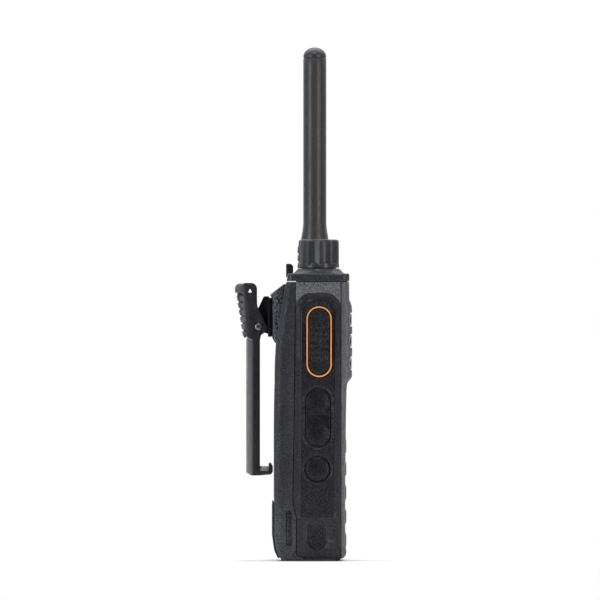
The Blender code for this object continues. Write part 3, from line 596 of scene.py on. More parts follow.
def flowing(stations, finest):
    """Stations read from a curve that passes through each of them without overshoot."""
    table = np.array(stations)
    steps = np.diff(table, axis=0)
    slopes = steps / steps[:, :1]
    same = slopes[:-1] * slopes[1:] > 0
    total = np.where(same, slopes[:-1] + slopes[1:], 1.0)
    inner = np.where(same, 2 * slopes[:-1] * slopes[1:] / total, 0.0)
    tangents = np.vstack([slopes[:1], inner, slopes[-1:]])
    made = []
    for i, step in enumerate(steps):
        gap = step[0]
        count = max(1, min(6, round(gap / finest)))
        for t in np.arange(count) / count:
            pull = (1 - t) * tangents[i] - t * tangents[i + 1]
            row = table[i] + step * t * t * (3 - 2 * t) + gap * t * (1 - t) * pull
            row[0] = table[i][0] + t * gap
            made.append(row)
    made.append(table[-1])
    return made


def body_section(z, back, front, half_width, back_radius, front_radius):
    outline = rounded_rectangle((back, front), (-half_width, half_width),
                                (back_radius, front_radius, front_radius, back_radius), 12)
    return [(x, y, z) for x, y in outline]


def envelope():
    return loft("body_envelope", [body_section(*row) for row in flowing(BODY_STATIONS, 0.7)])


def split_region(name, shift, far_x):
    """Solid on one side of the battery split, moved by shift to leave the gap."""
    outline = fillet([(x + shift, z) for x, z in SPLIT], [0, 0, 9, 9, 4, 4, 1.5, 1, 0.4, 0], 8)
    outline += [(far_x, SPLIT[-1][1]), (far_x, SPLIT[0][1])]
    return plate(name, outline, *ACROSS)


def panel_outline(grow):
    """Side panel: leaning sides and an arched top round the push-to-talk button."""
    bottom = SIDE_PANEL[2][0] - grow
    return [(2.8 - grow, bottom), (14.95 + grow, bottom)] + arc((9.45, 91.7), 6.1 + grow, 0, 180, 36)


# ---------------- housing and front

TONGUE_HALF = 19.8
# Tongue and groove that close the joint between housing and battery below the chassis
LOW_TONGUE = ((0.2, 1.3), (0.2, 4.6), (2.0, 4.6), (2.0, 2.6), (3.3, 2.0), (3.3, 1.3))
RIM_X = (16.9, 19.3)
CAP_RIM_X = (0.95, 20.3)
CROSS_RIM_X = (14.6, 15.6)


def make_housing():
    housing = combine(split_region("housing_fine", 0.15, HOUSING_FRONT), "INTERSECT", envelope())
    levels = ((HALF_WIDTH - 1.0, 1.1), (HALF_WIDTH - 0.02, 1.0), (HALF_WIDTH + 0.05, 0.85),
              (COLLAR_FACE - 0.2, 0.25), (COLLAR_FACE - 0.05, 0.12), (COLLAR_FACE, -0.05))
    join(housing, stack("collar", [(-y, out) for y, out in levels], lambda out: rounded_rectangle(
        (2.5 - 1.6 * out, 16.8 + 0.8 * out), (75.3 - 0.6 * out, 98.9 + 1.8 * out),
        (1.4, 1.4, 4.6 + out, 4.6 + out), 12)))
    inner = HALF_WIDTH - 2.4
    cut(housing,
        box("cavity", (-6.0, 25.0), (-inner, inner), (3.9, 101.6)),
        plate("side_pocket", panel_outline(0.1), NEAR_SIDE[0], -POCKET_FLOOR),
        ptt_hole(),
        box("rocker_hole", (6.7, 11.7), NEAR_SIDE, (ROCKER_Z - 6.5, ROCKER_Z + 6.5)),
        cylinder("side_key_hole", (SIDE_KEY_X, 0, SIDE_KEY_Z), "Y", 2.3, *NEAR_SIDE),
        box("cover_pocket", (2.6, 15.2), (POCKET_FLOOR, 30.0), (69.7, 97.3)),
        box("socket_hole", (4.2, 13.8), (20.0, 30.0), (74.2, 92.8)),
        *roof_holes(48),
        box("tongue_notch", (-6.0, 1.6), (-TONGUE_HALF - GAP, TONGUE_HALF + GAP), (101.0, 106.5)),
        *[box("low_notch", (-6.0, 3.6), y, (0.9, 5.0)) for y in both_sides(12.0, 20.0)],
        *rim_grooves(),
        box("latch_hole", (6.0, 12.4), (-8.3, 8.3), (-2.0, 6.0)),
        box("hook_slot", (5.2, 7.0), (-5.3, 5.3), (2.2, 6.0)))
    scoop = ((-1.0, 0.45), (0.0, 0.35), (0.3, 0.05), (0.9, -0.15), (1.3, -0.55), (1.5, -1.3))
    for side in (-1, 1):
        sections = []
        for depth, grow in scoop:
            section = []
            for x, z in stadium((8.8, 9.95), 2.35, 3.4 + grow):
                share = 0.35 + 0.65 * (15.8 - z) / 12 if depth > 0 else 1
                section.append((x, side * (HALF_WIDTH - depth * share), z))
            sections.append(section)
        cut(housing, loft("scoop", sections))
    stand_in(smooth(round_edges(housing, 0.22)), "housing", "housing_plastic")


def ptt_hole():
    return plate("ptt_hole", stadium(*PTT_SHAPE, RING_OUTER + GAP), *NEAR_SIDE)


def roof_holes(segments):
    """Holes for the knob's shaft and the antenna's stud; segments is for the antenna's."""
    return (cylinder("knob_hole", (KNOB_X, KNOB_Y, 0), "Z", KNOB_HOLE, *ROOF),
            cylinder("antenna_hole", (ANTENNA_X, ANTENNA_Y, 0), "Z", ANTENNA_HOLE, *ROOF, segments))


def rim_grooves():
    """Grooves in the top edge for the cap's rim, and notches for the front panel's tabs."""
    tools = [box("cross_groove", (CROSS_RIM_X[0] - 0.2, CROSS_RIM_X[1] + 0.2), (-22.0, 22.0), EDGE)]
    for y, tab_y in zip(both_sides(21.6, 23.4), both_sides(18.2, 20.0)):
        tools.append(box("cap_groove", (0.3, CAP_RIM_X[1] + 0.2), y, EDGE))
        for z in ((0.6, 5.0), (100.0, 106.5)):
            tools.append(box("tab_notch", (RIM_X[0] - 0.4, 17.9), tab_y, z))
    return tools


FLANGE = 0.7                 # width of the flange that keeps a front key in


def key_spans():
    """Each front key's node, its centre's y and z, and half its cap's width and height."""
    for name in ["key_" + k for k in KEYS] + ["key_menu", "nav_pad", "key_back"]:
        y, z = span(name)[1:]
        yield name, middle(y), middle(z), half(y) - FLANGE, half(z) - FLANGE


def yz_sections(levels, y, z, half_y, half_z, radius):
    """Rounded rectangles facing +X: one section for each (x, shrink) level."""
    sections = []
    for x, shrink in levels:
        corner = max(radius - shrink, 0.12)
        outline = rounded_rectangle((y - half_y + shrink, y + half_y - shrink),
                                    (z - half_z + shrink, z + half_z - shrink), (corner,) * 4, 6)
        sections.append([(x, a, b) for a, b in outline])
    return sections


SLOT_CENTRES = (90.4, 82.4, 73.95)
SLOT_HALF_HEIGHT = 2.6
SLOT_FLOOR = 20.45


def front_hole(name, y, z, half_y, half_z, radius):
    """Hole through the front, a gap wider than what it holds."""
    levels = [(x, 0) for x in FRONTWARD]
    return loft(name, yz_sections(levels, y, z, half_y + GAP, half_z + GAP, radius))


def make_front_panel():
    panel = combine(box("front_panel_fine", (PANEL_BACK, FRONTWARD[1]), ACROSS, (-5.0, 110.0)),
                    "INTERSECT", envelope())
    for name, *place in key_spans():
        cut(panel, front_hole(name + "_hole", *place, 1.1))
    y, z = span("display_lens")[1:]
    cut(panel, front_hole("window", middle(y), middle(z), half(y), half(z), 1.4),
        box("speaker_cavity", (10.0, 19.6), (-16.0, 16.0), (68.4, 96.0)),
        cylinder("mic_hole", (0, 18.5, 66.6), "X", 0.7, *FRONTWARD))
    rim_x = (RIM_X[0], PANEL_BACK + 0.3)
    for groove, wall, tab in zip(both_sides(21.6, 23.4), both_sides(23.3, 24.3), both_sides(18.6, 19.6)):
        cut(panel, box("cap_groove", (10.0, CAP_RIM_X[1] + 0.2), groove, EDGE))
        join(panel, box("rim_wall", rim_x, wall, (4.3, 101.2)),
             *[box("rim_tab", rim_x, tab, z) for z in ((0.9, 4.6), (101.0, BODY_TOP - 0.4))])
    for z in SLOT_CENTRES:
        low, high = z - SLOT_HALF_HEIGHT, z + SLOT_HALF_HEIGHT
        outline = rounded_rectangle((SLOT_FLOOR, 26.0), (low, high), (1.4, 0.5, 0.5, 1.4), 8)
        cut(panel, plate("slot", outline, *ACROSS),
            box("sound_window", (19.0, 21.0), (-15.0, 15.0), (low + 0.5, high - 0.5)))
    stand_in(smooth(round_edges(panel, 0.2)), "front_panel", "bezel_plastic")


def make_speaker_mesh():
    """Mesh sheet behind the panel, swelling into a bar in each of the wrap-round slots."""
    x, y, z = span("speaker_mesh")
    piece = box("mesh", x, y, z)
    ends = ((23.0, 0.0), (23.6, 0.1), (23.9, 0.35))
    levels = [(-y, inset) for y, inset in ends[::-1]] + [*ends]
    for height in SLOT_CENTRES:
        neck = box("neck", (x[0] + 0.1, SLOT_FLOOR + 0.6), (-14.7, 14.7), (height - 1.8, height + 1.8))
        join(piece, neck)
        join(piece, stack("bar", levels, lambda inset: rounded_rectangle(
            (SLOT_FLOOR + 0.2, PANEL_FRONT - 0.15 - inset), (height - 2.3 + inset, height + 2.3 - inset),
            (0.3, 0.6, 0.6, 0.3), 5)))
        cut(piece, *[box("dash", (PANEL_FRONT - 0.8, PANEL_FRONT - 0.4), y, (height - 1.1, height + 1.1))
                     for y in both_sides(22.9, 25.0)])
    stand_in(smooth(piece), "speaker_mesh", "mesh_steel")


LEGEND_SIZE = 3.4
LEGEND_HALF = 0.015          # half the thickness of the paint


def text_shape(text):
    """A glyph that faces +Z, centred on the origin."""
    curve = bpy.data.curves.new("glyph", "FONT")
    curve.body = text
    curve.size = LEGEND_SIZE * MM
    curve.align_x = "CENTER"
    curve.align_y = "CENTER"
    curve.extrude = LEGEND_HALF * MM
    curve.resolution_u = 4
    return add_object("glyph", curve)


def sign_shape(outline):
    """An (x, y) outline as a thin solid that faces +Z."""
    return loft("sign", [[(x, y, z) for x, y in outline] for z in (-LEGEND_HALF, LEGEND_HALF)])


# Turns +Z (a glyph's front) to +X and +X (its reading direction) to +Y
FACE_FRONT = Matrix(((0, 0, 1, 0), (1, 0, 0, 0), (0, 1, 0, 0), (0, 0, 0, 1)))


def add_legend(shape, place, parts):
    """Add objects that face +Z to a key's bmesh at place, with material 1, and remove them."""
    for part in parts:
        before = len(shape.faces)
        mesh = evaluated_mesh(part)
        mesh.transform(Matrix.Translation(Vector(place) * MM) @ FACE_FRONT)
        shape.from_mesh(mesh)
        shape.faces.ensure_lookup_table()
        for face in shape.faces[before:]:
            face.material_index = 1
        bpy.data.objects.remove(part)


def legend_parts(name):
    if name == "key_menu":
        outlines = [[(-1.0, b - 0.13), (1.0, b - 0.13), (1.0, b + 0.13), (-1.0, b + 0.13)]
                    for b in (-0.65, 0.0, 0.65)]
    elif name == "key_back":
        outlines = [[(-1.1, 0.0), (-0.2, -0.75), (-0.2, 0.75)],
                    [(-0.2, -0.15), (1.1, -0.15), (1.1, 0.15), (-0.2, 0.15)]]
    elif name == "nav_pad":
        outlines = [[(-0.9, b), (0.9, b), (0.0, 2 * b)] for b in (0.9, -0.9)]
    else:
        return [text_shape({"star": "*", "hash": "#"}.get(name[4:], name[4:]))]
    return [sign_shape(outline) for outline in outlines]


def make_keys():
    for name, y, z, half_y, half_z in key_spans():
        x_low, x_high = span(name)[0]
        levels = ((x_low + 0.35, 0), (x_high - 0.5, 0), (x_high - 0.28, 0.1), (x_high - 0.12, 0.4),
                  (x_high - 0.03, 1.0), (x_high, 1.7))
        cap = loft(name + "_fine", yz_sections(levels, y, z, half_y, half_z, 1.0))
        join(cap, box("flange", (x_low, x_low + 0.8), *span(name)[1:]))
        smooth(cap, 50)
        shape = bmesh.new()
        shape.from_mesh(cap.data)
        add_legend(shape, (x_high + 0.012, y, z), legend_parts(name))
        shape.to_mesh(cap.data)
        shape.free()
        stand_in(cap, name, "key_plastic", "legend_white")


def make_display():
    x, y, z = span("display_lens")
    levels = ((x[0], 0), (x[1] - 0.25, 0), (x[1] - 0.05, 0.08), (x[1], 0.25))
    piece = loft("lens", yz_sections(levels, middle(y), middle(z), half(y), half(z), 1.1))
    stand_in(smooth(piece, 60), "display_lens", "lens_glass")


# ---------------- top

def make_cap():
    stations = ((CAP_BOTTOM, -2.5, 20.85, 26.8, 2.4, 2.8), (CAP_BOTTOM + 0.15, -2.6, 20.95, 26.9, 2.4, 2.8),
                (107.1, -2.2, 20.95, 26.9, 2.4, 2.8), (107.4, -2.1, 20.85, 26.8, 2.3, 2.7),
                (107.6, -1.8, 20.6, 26.5, 2.2, 2.6))
    cap = loft("cap", [body_section(*station) for station in stations])
    shoulder = [(0.01, 109.45), (7.7, 109.45), (7.95, 109.35), (8.05, 109.15), (9.1, 108.0), (9.3, 107.85),
                (9.8, 107.75), (10.0, 107.5), (10.0, 106.0), (0.01, 106.0)]
    boss = [(0.01, 108.2), (6.9, 108.2), (7.3, 108.1), (8.2, 107.7), (8.6, 107.5), (8.6, 106.0),
            (0.01, 106.0)]
    join(cap, turned("knob_shoulder", shoulder, (KNOB_X, KNOB_Y), 96),
         turned("antenna_boss", boss, (ANTENNA_X, ANTENNA_Y), 96),
         cylinder("knob_ring", (KNOB_X, KNOB_Y, 0), "Z", 6.5, 108.0, 110.35, 96),
         box("cross_rim", CROSS_RIM_X, (-22.0, 22.0), (BODY_TOP - 0.6, 105.5)),
         *[box("cap_rim", CAP_RIM_X, y, (BODY_TOP - 0.6, 105.5)) for y in both_sides(21.9, 23.1)])
    cut(cap, *roof_holes(64))
    stand_in(smooth(round_edges(cap, 0.12)), "top_cap", "cap_plastic")

    lug = span("strap_lug")
    back, front = lug[0]
    side = fillet([(back, 106.3), (front, 106.3), (front, 110.4), (front - 0.9, lug[2][1]),
                   (back, lug[2][1])], [0, 0, 0.4, 0.5, 0.35], 4)
    piece = plate("lug", side, *lug[1])
    slot = box("lug_slot", (-5.0, 2.0), (-4.3, 4.3), (107.7, 109.8))
    cut(piece, round_edges(slot, 0.8, 4))
    stand_in(smooth(round_edges(piece, 0.2)), "strap_lug", "cap_plastic")


def make_knob():
    """Concave flutes that end in arches above a plain skirt."""
    steps, dip = 14, 0.75
    levels = [KNOB_BOTTOM + 0.14 * i for i in range(17)] + [KNOB_BOTTOM + 3.0 + 1.1 * i for i in range(6)]
    crown = ((1.0, 0.0), (0.75, 0.05), (0.45, 0.2), (0.2, 0.45), (0.05, 0.8), (0.0, 1.3), (0.03, 2.2),
             (0.25, 2.9), (0.32, 4.2))
    rows = [(z, 0.05 if z < KNOB_BOTTOM + 0.1 else 0.0) for z in levels]
    rows += [(KNOB_TOP - drop, inset) for drop, inset in crown]
    sections = []
    for z, inset in rows:
        section = []
        for i in range(FLUTES * steps):
            share = (i % steps) / steps
            swell = math.sin(math.pi * share)
            arch = KNOB_BOTTOM + 0.15 + 1.55 * swell ** 0.6
            hollow = dip * swell ** 0.9 * ramp(z, arch, arch + 0.3)
            radius = KNOB_RADIUS - hollow * (1 - min(inset / 2.0, 1.0)) - inset
            angle = 2 * math.pi * i / (FLUTES * steps) - math.pi / 2 + FLUTE_TURN
            section.append((KNOB_X + radius * math.cos(angle), KNOB_Y + radius * math.sin(angle), z))
        sections.append(section)
    knob = loft("knob", sections)
    pointer = box("pointer", (KNOB_X - 0.35, KNOB_X + 0.35), (KNOB_Y - 5.6, KNOB_Y - 2.4),
                  (KNOB_TOP - 0.5, KNOB_TOP + 1))
    cut(knob, cylinder("bore", (KNOB_X, KNOB_Y, 0), "Z", 2.9, 105.0, 117.3),
        cylinder("counterbore", (KNOB_X, KNOB_Y, 0), "Z", 6.8, 105.0, 110.7, 96), pointer)
    stand_in(smooth(knob, 32), "volume_knob", "knob_plastic")


def make_antenna():
    """Whip with a ringed base, flared root, seam near the tip and domed end."""
    radius = 4.35
    tip_low = 189.1
    dome = [(max(radius * math.cos(a), 0.02), tip_low + (ANTENNA_TIP - tip_low) * math.sin(a))
            for a in [math.radians(90 - 7.5 * i) for i in range(13)]]
    profile = dome + [(4.25, 188.98), (4.1, 188.9), (4.1, 188.7), (4.25, 188.62), (radius, 188.5)]
    profile += [(radius, 188.5 - 4.5 * i) for i in range(1, 14)]
    profile += [(radius, 126.6), (4.41, 125.6), (4.52, 124.6), (4.69, 123.4), (4.9, 122.2), (5.1, 121.0),
                (5.24, 119.9), (5.36, 119.2), (5.62, 118.6), (6.0, 118.15), (6.28, 117.85), (6.43, 117.55),
                (6.5, 117.1)]
    groove = ((6.5, -0.1), (6.44, 0.0), (6.15, 0.2), (6.08, 0.45), (6.15, 0.7), (6.44, 0.9), (6.5, 1.0))
    for groove_top in (115.3, 112.4):
        profile += [(r, groove_top - drop) for r, drop in groove]
    profile += [(6.5, ANTENNA_BASE + 0.25), (6.4, ANTENNA_BASE + 0.06), (6.2, ANTENNA_BASE),
                (3.3, ANTENNA_BASE), (3.3, 114.0), (0.02, 114.0)]
    whip = turned("whip", profile, (ANTENNA_X, ANTENNA_Y), 72)
    stand_in(smooth(whip, 55), "antenna_whip", "antenna_rubber")


# ---------------- side keys

DISH_RADIUS = 6.0
DISH_DEPTH = 0.55


def panel_face(x, z):
    """Side panel's outer face: flat, with a dish round the rocker and one round the key."""
    rocker = stadium_depth(x, z, *ROCKER_SHAPE, DISH_RADIUS)
    key = stadium_depth(x, z, (SIDE_KEY_X, SIDE_KEY_Z), 0.0, DISH_RADIUS)
    return -SIDE_PANEL[1][0] - DISH_DEPTH * ramp(max(rocker, key), 0.0, 1.1)


def make_side_panel():
    x, y, z = SIDE_PANEL
    face = relief("panel", x, z, (44, 270), panel_face, y[1], panel_outline(0.0))
    cut(face, ptt_hole(),
        plate("rocker_hole", stadium(*ROCKER_SHAPE, ROCKER_RADIUS + GAP), *NEAR_SIDE),
        cylinder("key_hole", (SIDE_KEY_X, 0, SIDE_KEY_Z), "Y", SIDE_KEY_RADIUS + GAP, *NEAR_SIDE, 64))
    stand_in(smooth(face, 28), "side_panel", "panel_rubber")


BUMP_ROWS, BUMP_COLUMNS = 6, 4
BUMP_ROW_PITCH, BUMP_COLUMN_PITCH = 2.3, 1.65
PAD_RADIUS = RING_INNER - GAP


def ptt_face(x, z):
    """Push-to-talk pad: gently crowned, with a grid of small round bumps."""
    depth = stadium_depth(x, z, *PTT_SHAPE, PAD_RADIUS)
    crown = COLLAR_FACE - 0.38 + 0.06 * ramp(depth, 0.0, PAD_RADIUS) - edge_drop(depth, 0.55)
    column = (x - PTT_X) / BUMP_COLUMN_PITCH + (BUMP_COLUMNS - 1) / 2
    row = (z - PTT_Z + 0.4) / BUMP_ROW_PITCH + (BUMP_ROWS - 1) / 2
    nearest = (min(max(round(column), 0), BUMP_COLUMNS - 1), min(max(round(row), 0), BUMP_ROWS - 1))
    away = math.hypot((column - nearest[0]) * BUMP_COLUMN_PITCH, (row - nearest[1]) * BUMP_ROW_PITCH)
    return crown + 0.3 * ramp(0.66 - away, 0.0, 0.5)


def make_ptt():
    pad = relief("pad", (PTT_X - PAD_RADIUS, PTT_X + PAD_RADIUS),
                 (PTT_Z - PTT_HALF_STRAIGHT - PAD_RADIUS, PTT_Z + PTT_HALF_STRAIGHT + PAD_RADIUS),
                 (58, 186), ptt_face, -26.0, stadium(*PTT_SHAPE, PAD_RADIUS))
    base = plate("base", stadium(*PTT_SHAPE, RING_OUTER), -26.4, span("ptt_button")[1][1])
    stand_in(smooth(join(pad, base)), "ptt_button", "pad_rubber")

    near, far = PTT[1]
    edge = ((0.3, 0.0), (0.12, 0.07), (0.02, 0.2))
    levels = ((far, 0.0), *[(near + y, inset) for y, inset in edge], (near, RING_WIDTH / 2),
              *[(near + y, RING_WIDTH - inset) for y, inset in edge[::-1]], (far, RING_WIDTH))
    ring = stack("ring", levels, lambda inset: stadium(*PTT_SHAPE, RING_OUTER - inset, 36), ends=False)
    stand_in(smooth(ring), "ptt_ring", "ring_orange")


def rocker_face(x, z):
    """Two domed ends joined by a lower waist with a ridge across its middle."""
    depth = stadium_depth(x, z, *ROCKER_SHAPE, ROCKER_RADIUS)
    up = math.hypot(x - ROCKER_X, z - ROCKER_Z - ROCKER_HALF_STRAIGHT + 0.4)
    down = math.hypot(x - ROCKER_X, z - ROCKER_Z + ROCKER_HALF_STRAIGHT - 0.2)
    domes = 0.75 * (1 - min(up / 4.2, down / 4.2, 1.0) ** 2)
    ridge = 0.35 * ramp(0.9 - abs(z - ROCKER_Z - 1.8), 0.0, 0.9)
    return 26.65 + max(domes, ridge) - edge_drop(depth, 0.35)


def make_rocker():
    face = relief("rocker", ROCKER[0], ROCKER[2], (50, 120), rocker_face, -26.25,
                  stadium(*ROCKER_SHAPE, ROCKER_RADIUS))
    stem = box("rocker_stem", (7.2, 11.2), (-26.6, ROCKER[1][1]), (ROCKER_Z - 6.0, ROCKER_Z + 6.0))
    stand_in(smooth(join(face, stem)), "side_rocker", "button_rubber")


def make_side_key():
    low, high = SIDE_KEY[1]
    dome = ((0.02, 0.0), (0.8, 0.01), (1.6, 0.05), (2.4, 0.13), (3.2, 0.26), (3.8, 0.42), (4.15, 0.56),
            (4.4, 0.75))
    profile = [(r, -low - drop) for r, drop in dome]
    profile += [(4.45, 26.2), (1.8, 26.2), (1.8, -high), (0.02, -high)]
    key = turned_across("key", profile, SIDE_KEY_X, SIDE_KEY_Z, 1, 72)
    stand_in(smooth(key), "side_key", "button_rubber")


def make_cover():
    """Socket cover on the far side: soft plate with a rim and grip ribs."""
    x, y, z = span("accessory_cover")
    levels = ((y[0], 0.0), (y[1] - 0.75, 0.0), (y[1] - 0.5, 0.06), (y[1] - 0.3, 0.2), (y[1] - 0.2, 0.5))
    cover = stack("cover", levels, lambda shrink: rounded_rectangle(
        (x[0] + shrink, x[1] - shrink), (z[0] + shrink, z[1] - shrink), (1.2, 2.4, 2.4, 1.2), 8))
    for i in range(5):
        height = middle(z) - 5.2 + 2.6 * i
        rib = rounded_rectangle((x[0] + 3.0, x[1] - 3.0), (height - 0.55, height + 0.55), (0.5,) * 4, 5)
        join(cover, plate("rib", rib, y[1] - 0.6, y[1]))
    stand_in(smooth(round_edges(cover, 0.12)), "accessory_cover", "panel_rubber")


# ---------------- battery

def make_battery():
    case = combine(split_region("case", -0.15, -30.0), "INTERSECT", envelope())
    tongue = [(-0.4, BODY_TOP), (-1.0, 5.0), (1.22, 5.0), (1.22, 102.0), (1.1, BODY_TOP)]
    join(case, plate("tongue", tongue, -TONGUE_HALF, TONGUE_HALF))
    for y in both_sides(12.4, 19.6):
        join(case, plate("low_tongue", LOW_TONGUE, *y))
    cut(case, box("battery_cavity", (-5.6, -0.7), (-24.9, 24.9), (5.2, 79.6)),
        box("contact_window", (-1.0, 2.0), (-11.6, 11.6), (8.5, 14.5)))
    for side in (-1, 1):
        levels = [(side * (HALF_WIDTH - depth), grow)
                  for depth, grow in ((-1.0, 0.3), (0.0, 0.25), (0.3, 0.0), (1.3, -0.1), (1.5, -0.35))]
        cut(case, stack("groove", levels, lambda grow: rounded_rectangle(
            (-2.75 - grow, -0.75 + grow), (5.7 - grow, 18.8 + grow),
            (0.6 + grow, 0.6 + grow, 1.0 + grow, 1.0 + grow), 6)))
    stand_in(smooth(round_edges(case, 0.2)), "battery_case", "battery_plastic")

    side = fillet([(-7.65, 22.5), (-7.95, 22.5), (-8.1, 21.0), (-8.1, 10.0), (-7.6, 6.4), (-7.25, 4.0),
                   (-6.35, 2.0), (-5.6, 0.8), (-5.4, 1.15), (-6.1, 2.4), (-6.65, 3.7), (-7.1, 5.9),
                   (-7.4, 10.1), (-7.4, 19.2)],
                  [0.1, 0.2, 1.0, 4.0, 4.0, 4.0, 4.0, 0.2, 0.2, 4.0, 4.0, 4.0, 4.0, 0.5], 4)
    near, far = span("battery_foot")[1]
    levels = ((near, -0.35), (near + 0.15, -0.12), (near + 0.5, 0.0), (far - 0.5, 0.0), (far - 0.15, -0.12),
              (far, -0.35))
    piece = stack("foot", levels, lambda grow: [(max(x, -8.1 - grow), z) for x, z in side])
    web = [(-7.3, 10.6), (-7.3, 6.2), (-6.9, 4.0), (-6.3, 2.5), (-5.5, 1.15), (-4.8, 1.35), (-5.3, 2.4),
           (-5.9, 3.7), (-6.4, 5.9), (-6.8, 10.6)]
    join(piece, box("foot_pad", (-7.6, -6.9), (near + 4.0, far - 4.0), (10.6, 22.0)),
         plate("foot_web", web, near + 2.0, far - 2.0))
    stand_in(smooth(piece), "battery_foot", "battery_plastic")


# ---------------- belt clip

def screw_hole():
    return cylinder("screw_hole", (0, 0, SCREW_HEIGHT), "X", 1.8, -20.0, -6.2)


def pin_bore():
    return cylinder("pin_bore", (PIN_X, 0, PIN_Z), "Y", PIN_BORE, -20.0, 20.0)


def make_clip():
    """Textured hump, black bracket, hollow pin, lever with ribbed pad."""
    hump = fillet([(-3.2, 104.0), (-8.9, 99.7), (-8.2, 98.6), (-8.2, 84.6), (-7.9, 83.2), (-7.3, 82.2),
                   (-6.9, 81.5), (-6.2, 85.8), (-5.5, 91.2), (-4.7, 95.5), (-3.65, 102.4)],
                  [0.3, 0.5, 0.3, 1.5, 1.5, 1.5, 0.1, 4, 6, 6, 0.2], 5)
    mount = span("clip_mount")

    def inset(point, y, d):
        """Roll the hump's sides over towards the battery."""
        x, z = point
        return (x + d * min(max((-4.2 - x) / 3.0, 0.0), 1.0), y, z)

    piece = crowned("hump", hump, mount[1][1], inset, 0.5, 1.2)
    core = [(-7.0, 100.4), (-7.0, 82.9), (-6.2, 82.9), (-5.5, 86.0), (-4.7, 91.4), (-3.9, 95.7),
            (-2.6, 103.7), (-3.5, 103.6)]
    join(piece, plate("hump_core", core, -13.4, 13.4))
    cut(piece, screw_hole())
    stand_in(smooth(piece), "clip_mount", "textured_plastic")

    base = round_edges(box("bracket", (-9.6, -8.1), (-13.0, 13.0), (83.9, 98.6)), 0.3)
    lug_side = fillet([(-9.2, 99.1), (-11.15, 99.1), (-13.4, 94.2), (-14.6, 90.3)], [0, 0.7, 5, 3], 5)
    lug_side += arc((PIN_X, PIN_Z), 1.95, 160, 290, 16) + [(-9.2, 84.9)]
    for y in both_sides(4.6, 8.1):
        join(base, round_edges(plate("bracket_lug", lug_side, *y), 0.2))
    cut(base, screw_hole(), pin_bore())
    stand_in(smooth(base), "clip_base", "bracket_plastic")

    low, high = PIN[1]
    radius = half(PIN[0])
    end = ((0.42, 1.2), (0.5, 0.12), (0.62, 0.0), (radius - 0.25, 0.0), (radius - 0.06, 0.1), (radius, 0.3))
    waist = ((radius, 4.2), (1.75, 4.15), (1.75, 3.15), (radius, 3.1))
    profile = [(r, high - drop) for r, drop in end] + [*waist] + [(r, -y) for r, y in waist[::-1]]
    profile += [(r, low + rise) for r, rise in end[::-1]]
    pin = turned_across("pin", profile, PIN_X, PIN_Z, -1, 48)
    stand_in(smooth(pin), "clip_pin", "dark_steel")
    make_lever()
    make_grip()


def crowned(name, outline, reach, inset, depth, corner=0.3):
    """Extrude an (x, z) outline across Y with its -X side crowned from end to end.

    reach is half the width, depth how far the ends fall back and corner the rounding at the
    ends; inset(point, y, d) moves an outline point in by d.
    """
    levels = [(reach * share, depth * share ** 2) for share in (0.0, 0.15, 0.3, 0.45, 0.6, 0.72, 0.82, 0.9)]
    for angle in (0, 22.5, 45, 67.5, 90):
        y = reach - corner * (1 - math.sin(math.radians(angle)))
        levels.append((y, depth * (y / reach) ** 2 + corner * (1 - math.cos(math.radians(angle)))))
    sections = [[inset(p, -y, d) for p in outline] for y, d in reversed(levels[1:])]
    sections += [[inset(p, y, d) for p in outline] for y, d in levels]
    return loft(name, sections)


LEVER_CROWN = 2.4


def make_lever():
    side = [(-18.72, 103.9), (-18.2, 104.1)] + arc((-15.9, 101.9), 2.2, 90, 0, 10)
    side += fillet([(-13.7, 98.5), (-13.65, 95.4), (-10.7, 89.3)], [0, 6, 0], 6)
    side += arc((-11.7, 87.2), 1.9, 25, -60, 10)
    side += fillet([(-12.2, 84.5), (-12.6, 82.6), (-12.6, 33.6), (-9.3, 33.6), (-9.3, 36.4),
                    (-8.6, 36.7), (-7.75, 35.2), (-7.75, 33.2), (-8.5, 32.3), (-12.9, 31.9),
                    (-15.9, 31.9), (-17.8, 33.0)],
                   [0, 2, 0.5, 0.3, 0.3, 0.4, 0.4, 0.4, 0.8, 2, 1.0, 0.9], 4)
    side += [(-17.8, 60.0), (-17.8, 82.7), (-17.33, 83.8)]

    def inset(point, y, d):
        """Pull the outer face in towards the sides of the lever."""
        x, z = point
        return (max(x, -17.8 + d) if x < -15.0 and z < 83.0 else x, y, z)

    lever = crowned("lever", side, LEVER[1][1], inset, LEVER_CROWN)
    channel = [(-16.9, 110.0), (-15.8, 82.0), (-15.8, 34.2), (-5.0, 34.2), (-5.0, 110.0)]
    triangle = fillet([(-17.05, 100.5), (-15.6, 100.5), (-16.3, 102.1)], [0.25, 0.25, 0.25], 4)
    cut(lever, plate("channel", channel, -8.4, 8.4), plate("sight_hole", triangle, *ACROSS), pin_bore())
    join(lever, foot_crown())
    stand_in(smooth(round_edges(lever, 0.2, angle=45)), "clip_lever", "clip_plastic")


def foot_crown():
    """Web across the clip's foot, highest in the middle."""
    sections = []
    for i in range(21):
        y = -10.0 + i
        top = 33.5 + 1.9 * (1 - (y / 10.0) ** 2)
        sections.append([(-13.0, y, 33.0), (-9.1, y, 33.0), (-9.1, y, top), (-13.0, y, top)])
    return loft("foot_crown", sections)


